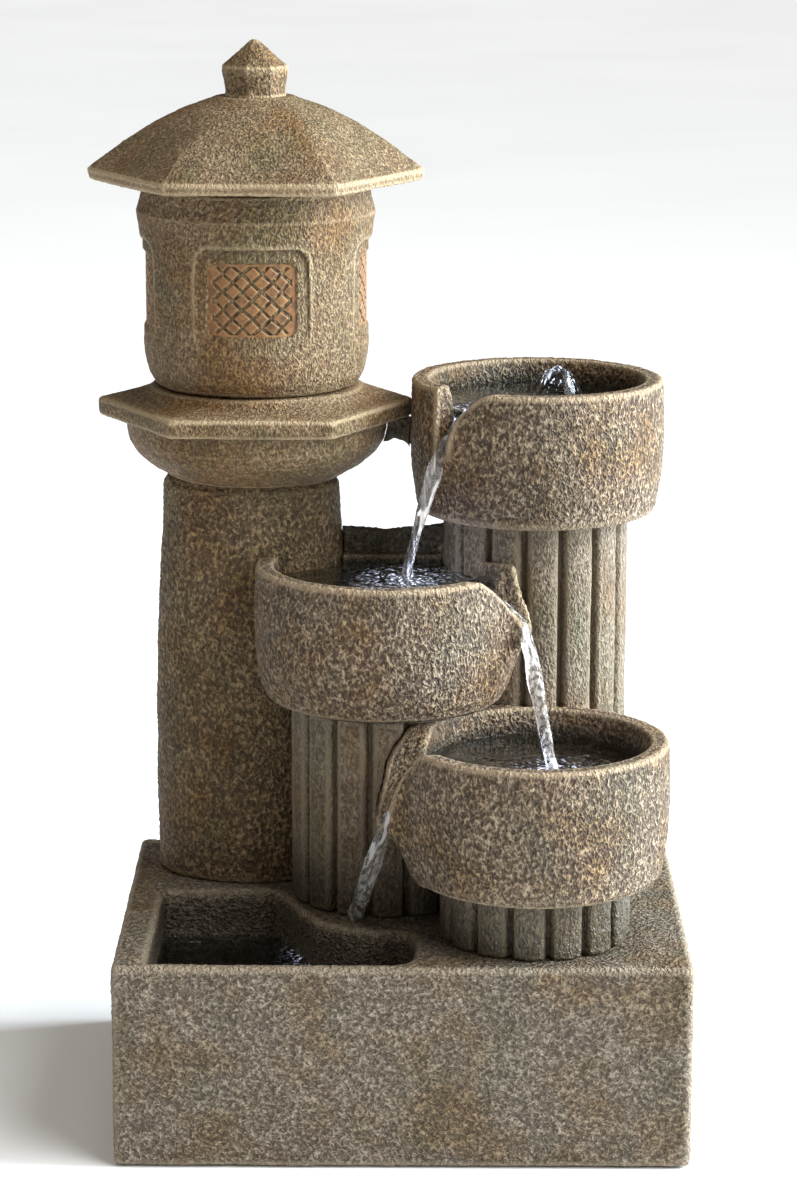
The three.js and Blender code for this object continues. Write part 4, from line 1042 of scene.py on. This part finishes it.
def pool_water(name, landing, seed):
    """The pool's water: a grid cut to the pool's outline, with walls round its border."""
    step = 1.6
    xs, ys = np.arange(-100, 9, step), np.arange(-83, 17, step)
    x, y = (a.ravel() for a in np.meshgrid(xs, ys, indexing="ij"))
    height, splash_glint = ripples(x, y, landing, seed)
    keep = (outline_distance(x, y, POOL) < 1.9).reshape(len(xs), len(ys))
    i, j = np.nonzero(keep[:-1, :-1] & keep[1:, :-1] & keep[:-1, 1:] & keep[1:, 1:])
    a = i * len(ys) + j
    quads = np.stack([a, a + len(ys), a + len(ys) + 1, a + 1], 1)
    count = len(x)
    points = np.concatenate([np.stack([x, y, POOL_WATER + height], 1),
                             np.stack([x, y, np.full_like(x, POOL_WATER - 5)], 1)])
    edges = {}
    for quad in quads.tolist():
        edges.update(dict.fromkeys(zip(quad, quad[1:] + quad[:1])))
    walls = np.array([(q, p, p + count, q + count) for p, q in edges if (q, p) not in edges])
    used = np.unique(np.concatenate([quads, quads + count]))
    renumber = np.zeros(2 * count, int)
    renumber[used] = np.arange(len(used))
    faces = [renumber[group] for group in (quads, quads[:, ::-1] + count, walls)]
    add_water(name, points[used], faces, np.concatenate([splash_glint, splash_glint])[used])


def smooth_path(points, count):
    """Catmull-Rom through the rows of an array of control values."""
    points = np.asarray(points, float)
    ends = np.concatenate([[2 * points[0] - points[1]], points, [2 * points[-1] - points[-2]]])
    t = np.linspace(0, len(points) - 1 - 1e-6, count)
    i = t.astype(int)
    s = (t - i)[:, None]
    p0, p1, p2, p3 = ends[i], ends[i + 1], ends[i + 2], ends[i + 3]
    return 0.5 * (2 * p1 + (p2 - p0) * s + (2 * p0 - 5 * p1 + 4 * p2 - p3) * s**2
                  + (3 * p1 - p0 - 3 * p2 + p3) * s**3)


def stream(name, controls, wide, seed):
    """A falling ribbon of water, its width starting along wide.

    Each control is x, y, z, half width, half thickness, twist.
    """
    rings, sides = 110, 28
    path = smooth_path(controls, rings)
    centre, (half_width, half_thickness, twist) = path[:, :3], path[:, 3:].T[..., None]
    along = np.gradient(centre, axis=0)
    along /= np.linalg.norm(along, axis=1, keepdims=True)
    across = np.array(wide) - along * (along @ np.array(wide))[:, None]
    across /= np.linalg.norm(across, axis=1, keepdims=True)
    out = np.cross(along, across)
    angle = np.arange(sides) * 2 * math.pi / sides
    c, s = np.cos(angle) * half_width, np.sin(angle) * half_thickness
    u, v = c * np.cos(twist) - s * np.sin(twist), c * np.sin(twist) + s * np.cos(twist)
    offset = (u[..., None] * across[:, None] + v[..., None] * out[:, None]).reshape(-1, 3)
    strand = np.stack([np.tile(np.cos(angle) * 1.6, rings), np.tile(np.sin(angle) * 1.6, rings),
                       np.repeat(np.linspace(0, 9, rings), sides)], 1)
    swell = 1 + 0.26 * lattice_noise(strand, seed) + 0.07 * lattice_noise(strand * 2.3, seed + 1)
    skin = np.repeat(centre, sides, 0) + offset * swell[:, None]
    points = np.concatenate([skin, [centre[0], centre[-1]]])
    count, ring = rings * sides, np.arange(sides)
    caps = [fan(count, ring)[:, ::-1], fan(count + 1, count - sides + ring)[:, [1, 2, 0]]]
    faces = [ring_quads(rings, sides)[:, ::-1], *caps]
    add_water(name, points, faces, np.zeros(len(points)), STREAM)


LANDINGS = {"middle": (0.4, 17.1), "lower": (56.5, -50), "pool": (-23.7, -11.9)}
bowl_water("water_top", TOP_BOWL, TALL, (30, 20), 101, bubble=OUTLET)
bowl_water("water_middle", MID_BOWL, MID, LANDINGS["middle"], 103)
bowl_water("water_lower", LOW_BOWL, LOW, LANDINGS["lower"], 107)
pool_water("water_pool", LANDINGS["pool"], 109)

stream("stream_top", [
    (30, 22, 272.6, 5.0, 0.9, 0), (24, 16.5, 270.3, 4.4, 1.2, 0), (18.5, 12.2, 264.8, 3.4, 1.5, 0),
    (14.6, 9.2, 259.6, 3.1, 1.9, 0.1), (12.2, 8.4, 253, 3.3, 1.6, 0.5),
    (9.6, 9.8, 244, 3.0, 1.3, 0.9), (6.4, 12.2, 232, 2.6, 1.6, 1.5),
    (3.4, 14.6, 220, 2.5, 1.5, 2.0), (0.9, 16.7, 209.5, 2.8, 1.9, 2.2),
    (0.2, 17.3, 204, 3.2, 2.4, 2.3)], (0.7, 0.7, 0), 113)
stream("stream_middle", [
    (27, -0.5, 206.6, 5.0, 0.9, 0), (34, -3.2, 204.2, 4.6, 1.2, 0),
    (40.5, -5.4, 199.8, 3.8, 1.6, 0), (45.8, -7.2, 194.2, 3.2, 2.0, 0.1),
    (48.4, -10.5, 187, 3.1, 1.7, 0.4), (50.6, -17.5, 177, 2.9, 1.5, 0.9),
    (52.8, -28, 166, 2.6, 1.6, 1.4), (54.8, -39, 156.5, 2.7, 1.8, 1.9),
    (56.3, -48.6, 148.8, 3.0, 2.2, 2.1), (56.8, -51, 144.5, 3.3, 2.6, 2.2)], (0.3, 0.9, 0), 127)
stream("stream_lower", [
    (14, -45.5, 146.6, 6.0, 0.9, 0), (7, -47, 142.6, 5.2, 1.3, 0), (0, -48.4, 136, 4.2, 1.7, 0),
    (-5.4, -49.4, 128.4, 4.2, 2.4, 0.1), (-8.6, -47.6, 120, 4.6, 2.0, 0.3),
    (-11.8, -42, 108, 4.4, 1.8, 0.6), (-15, -34, 94, 3.4, 1.5, 0.9),
    (-18.6, -25, 80, 3.0, 1.6, 1.2), (-22, -16, 67, 2.6, 1.8, 1.4),
    (-23.9, -11.5, 58, 3.0, 2.2, 1.5)], (0.2, 1.0, 0), 131)


# ---- The small parts, which keep their solids
def moulded(name, dark, light, roughness, **constants):
    """Plastic, rubber and the like: mottled a little, with a fine grain."""
    m = Material(name, roughness, **constants)
    flow, grain = m.noise(9, 3, 0.5), m.noise(0.5, 2, 0.5)
    m.colour(m.ramp(flow, [(0.35, dark), (0.65, light)]))
    m.rough(m.span(grain, 0.3, 0.7, roughness - 0.06, roughness + 0.08))
    m.bump(grain, 0.06, 0.4)
    return m.material


def banded(name, roughness, axis, scale, dark, light, depth, strength):
    """Bare metal in fine bands: a winding's turns, or a core's laminations."""
    m = Material(name, roughness, Metallic=1.0)
    bands = m.node("TexWave", {"Vector": m.place, "Scale": scale}, wave_type="BANDS",
                   bands_direction=axis).outputs["Fac"]
    m.colour(m.ramp(bands, [dark, light]))
    m.bump(bands, depth, strength)
    return m.material


def lens():
    m = Material("lens", 0.08, Transmission_Weight=0.6, IOR=1.49,
                 Emission_Color=tone(170, 195, 255), Emission_Strength=2.5)
    swirl = m.noise(3, 2, 0.5)
    m.colour(m.ramp(swirl, [(0.3, tone(206, 222, 255)), (0.7, tone(242, 246, 255))]))
    return m.material


def clear_hose():
    m = Material("clear_hose", 0.15, Transmission_Weight=0.75, IOR=1.45)
    haze = m.noise(6, 3, 0.5)
    m.colour(m.ramp(haze, [(0.3, tone(206, 214, 210)), (0.7, tone(236, 240, 238))]))
    m.rough(m.span(haze, 0.3, 0.7, 0.08, 0.28))
    return m.material


PLASTIC = moulded("pump_plastic", tone(20, 23, 27), tone(34, 37, 42), 0.42)
RUBBER = moulded("rubber", tone(22, 22, 22), tone(38, 37, 36), 0.72)
CERAMIC = moulded("ceramic", tone(226, 222, 212), tone(246, 243, 236), 0.2)
EPOXY = moulded("epoxy", tone(30, 26, 22), tone(50, 44, 38), 0.28)
FELT = moulded("felt", tone(38, 40, 35), tone(66, 68, 60), 0.92, Sheen_Weight=0.5)
FLOOR_PLATE = moulded("floor_plate", tone(58, 50, 42), tone(86, 76, 64), 0.8)
STEEL = banded("steel", 0.38, "Z", 900, (0.1, tone(86, 88, 92)), (0.7, tone(176, 178, 182)),
               0.1, 0.5)
COPPER = banded("copper", 0.35, "X", 600, (0.2, tone(120, 58, 26)), (0.8, tone(216, 128, 74)),
                0.15, 0.8)
FINISHES = {"stator_core": STEEL, "stator_coil": COPPER, "motor_potting": EPOXY,
            "impeller_shaft": CERAMIC, "base_pad": FELT, "base_floor": FLOOR_PLATE,
            "hose": clear_hose()}
LENS = lens()
for name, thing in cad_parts.items():
    if thing.hide_render:
        continue
    rubbery = any(word in name for word in ("lead", "bush", "cup", "plug", "grommet", "seal"))
    finish = LENS if name.endswith("_lens") else RUBBER if rubbery else PLASTIC
    thing.data.materials.clear()
    thing.data.materials.append(FINISHES.get(name, finish))


# ---- Camera, light and floor
CAMERA_AT = (0.0024, -1.4319, 0.5343)
PITCH, YAW, ROLL = (math.radians(angle) for angle in (13.04, 0.179, 0.147))
camera = place("camera", bpy.data.cameras.new("camera"))
camera.location = CAMERA_AT
level = Euler((math.pi / 2 - PITCH, 0, YAW)).to_matrix()
camera.rotation_euler = (level @ Matrix.Rotation(ROLL, 3, "Z")).to_euler()
camera.data.sensor_width = 36
camera.data.lens = 112.9
camera.data.clip_end = 150
bpy.context.scene.camera = camera


def lamp(name, kind, position, target, power, colour):
    """A light aimed at a point."""
    thing = place(name, bpy.data.lights.new(name, kind))
    thing.data.energy, thing.data.color = power, colour
    thing.location = position
    x, y, z = np.array(target, float) - np.array(position, float)
    thing.rotation_euler = (math.atan2(math.hypot(x, y), -z), 0, math.atan2(-x, y))
    return thing.data


for name, position, size, power, colour in (
        ("fill", (-0.6, -1.9, 0.9), (1.2, 1.2), 2.5, (1.0, 0.93, 0.84)),
        ("rim", (1.5, 0.1, 0.7), (0.9, 1.3), 85, (0.8, 0.91, 1.0)),
        ("top", (-0.35, -0.15, 2.2), (1.4, 1.4), 9, (1.0, 0.95, 0.86))):
    panel = lamp(name, "AREA", position, (0, 0, 0.2), power, colour)
    panel.shape, panel.size, panel.size_y = "RECTANGLE", size[0], size[1]
lamp("key", "SUN", (1.5, -0.66, 1.2), (0, 0, 0), 3.9, (0.96, 0.985, 1.0)).angle = math.radians(56)

# the lights under the water
for name, spot in (("glow_middle", (8, 4, 214)), ("glow_lower", (46, -44, 153)),
                   ("glow_pool", (-22, -22, 66))):
    data = bpy.data.lights.new(name, "POINT")
    data.energy, data.color, data.shadow_soft_size = 0.02, (0.62, 0.72, 1.0), 0.004
    place(name, data).location = [length * MM for length in spot]

world = bpy.data.worlds.new("world")
world.use_nodes = True
sky = world.node_tree.nodes["Background"].inputs
sky["Color"].default_value = (1.0, 0.95, 0.88, 1)
sky["Strength"].default_value = 0.21
bpy.context.scene.world = world

REACH = 48  # metres: the floor goes on to the horizon
floor = place("floor", bpy.data.meshes.new("floor"))
corners = [(-REACH, -REACH, 0), (REACH, -REACH, 0), (REACH, REACH, 0), (-REACH, REACH, 0)]
floor.data.from_pydata(corners, [], [(0, 1, 2, 3)])
paper = Material("paper", 0.95, Specular_IOR_Level=0.0)
shades = [(0.3, tone(246, 246, 246)), (0.7, tone(250, 250, 250))]
paper.colour(paper.ramp(paper.noise(400, 2, 0.5), shades))
floor.data.materials.append(paper.material)
bpy.context.scene.view_settings.view_transform = "Standard"

bpy.context.view_layer.update()
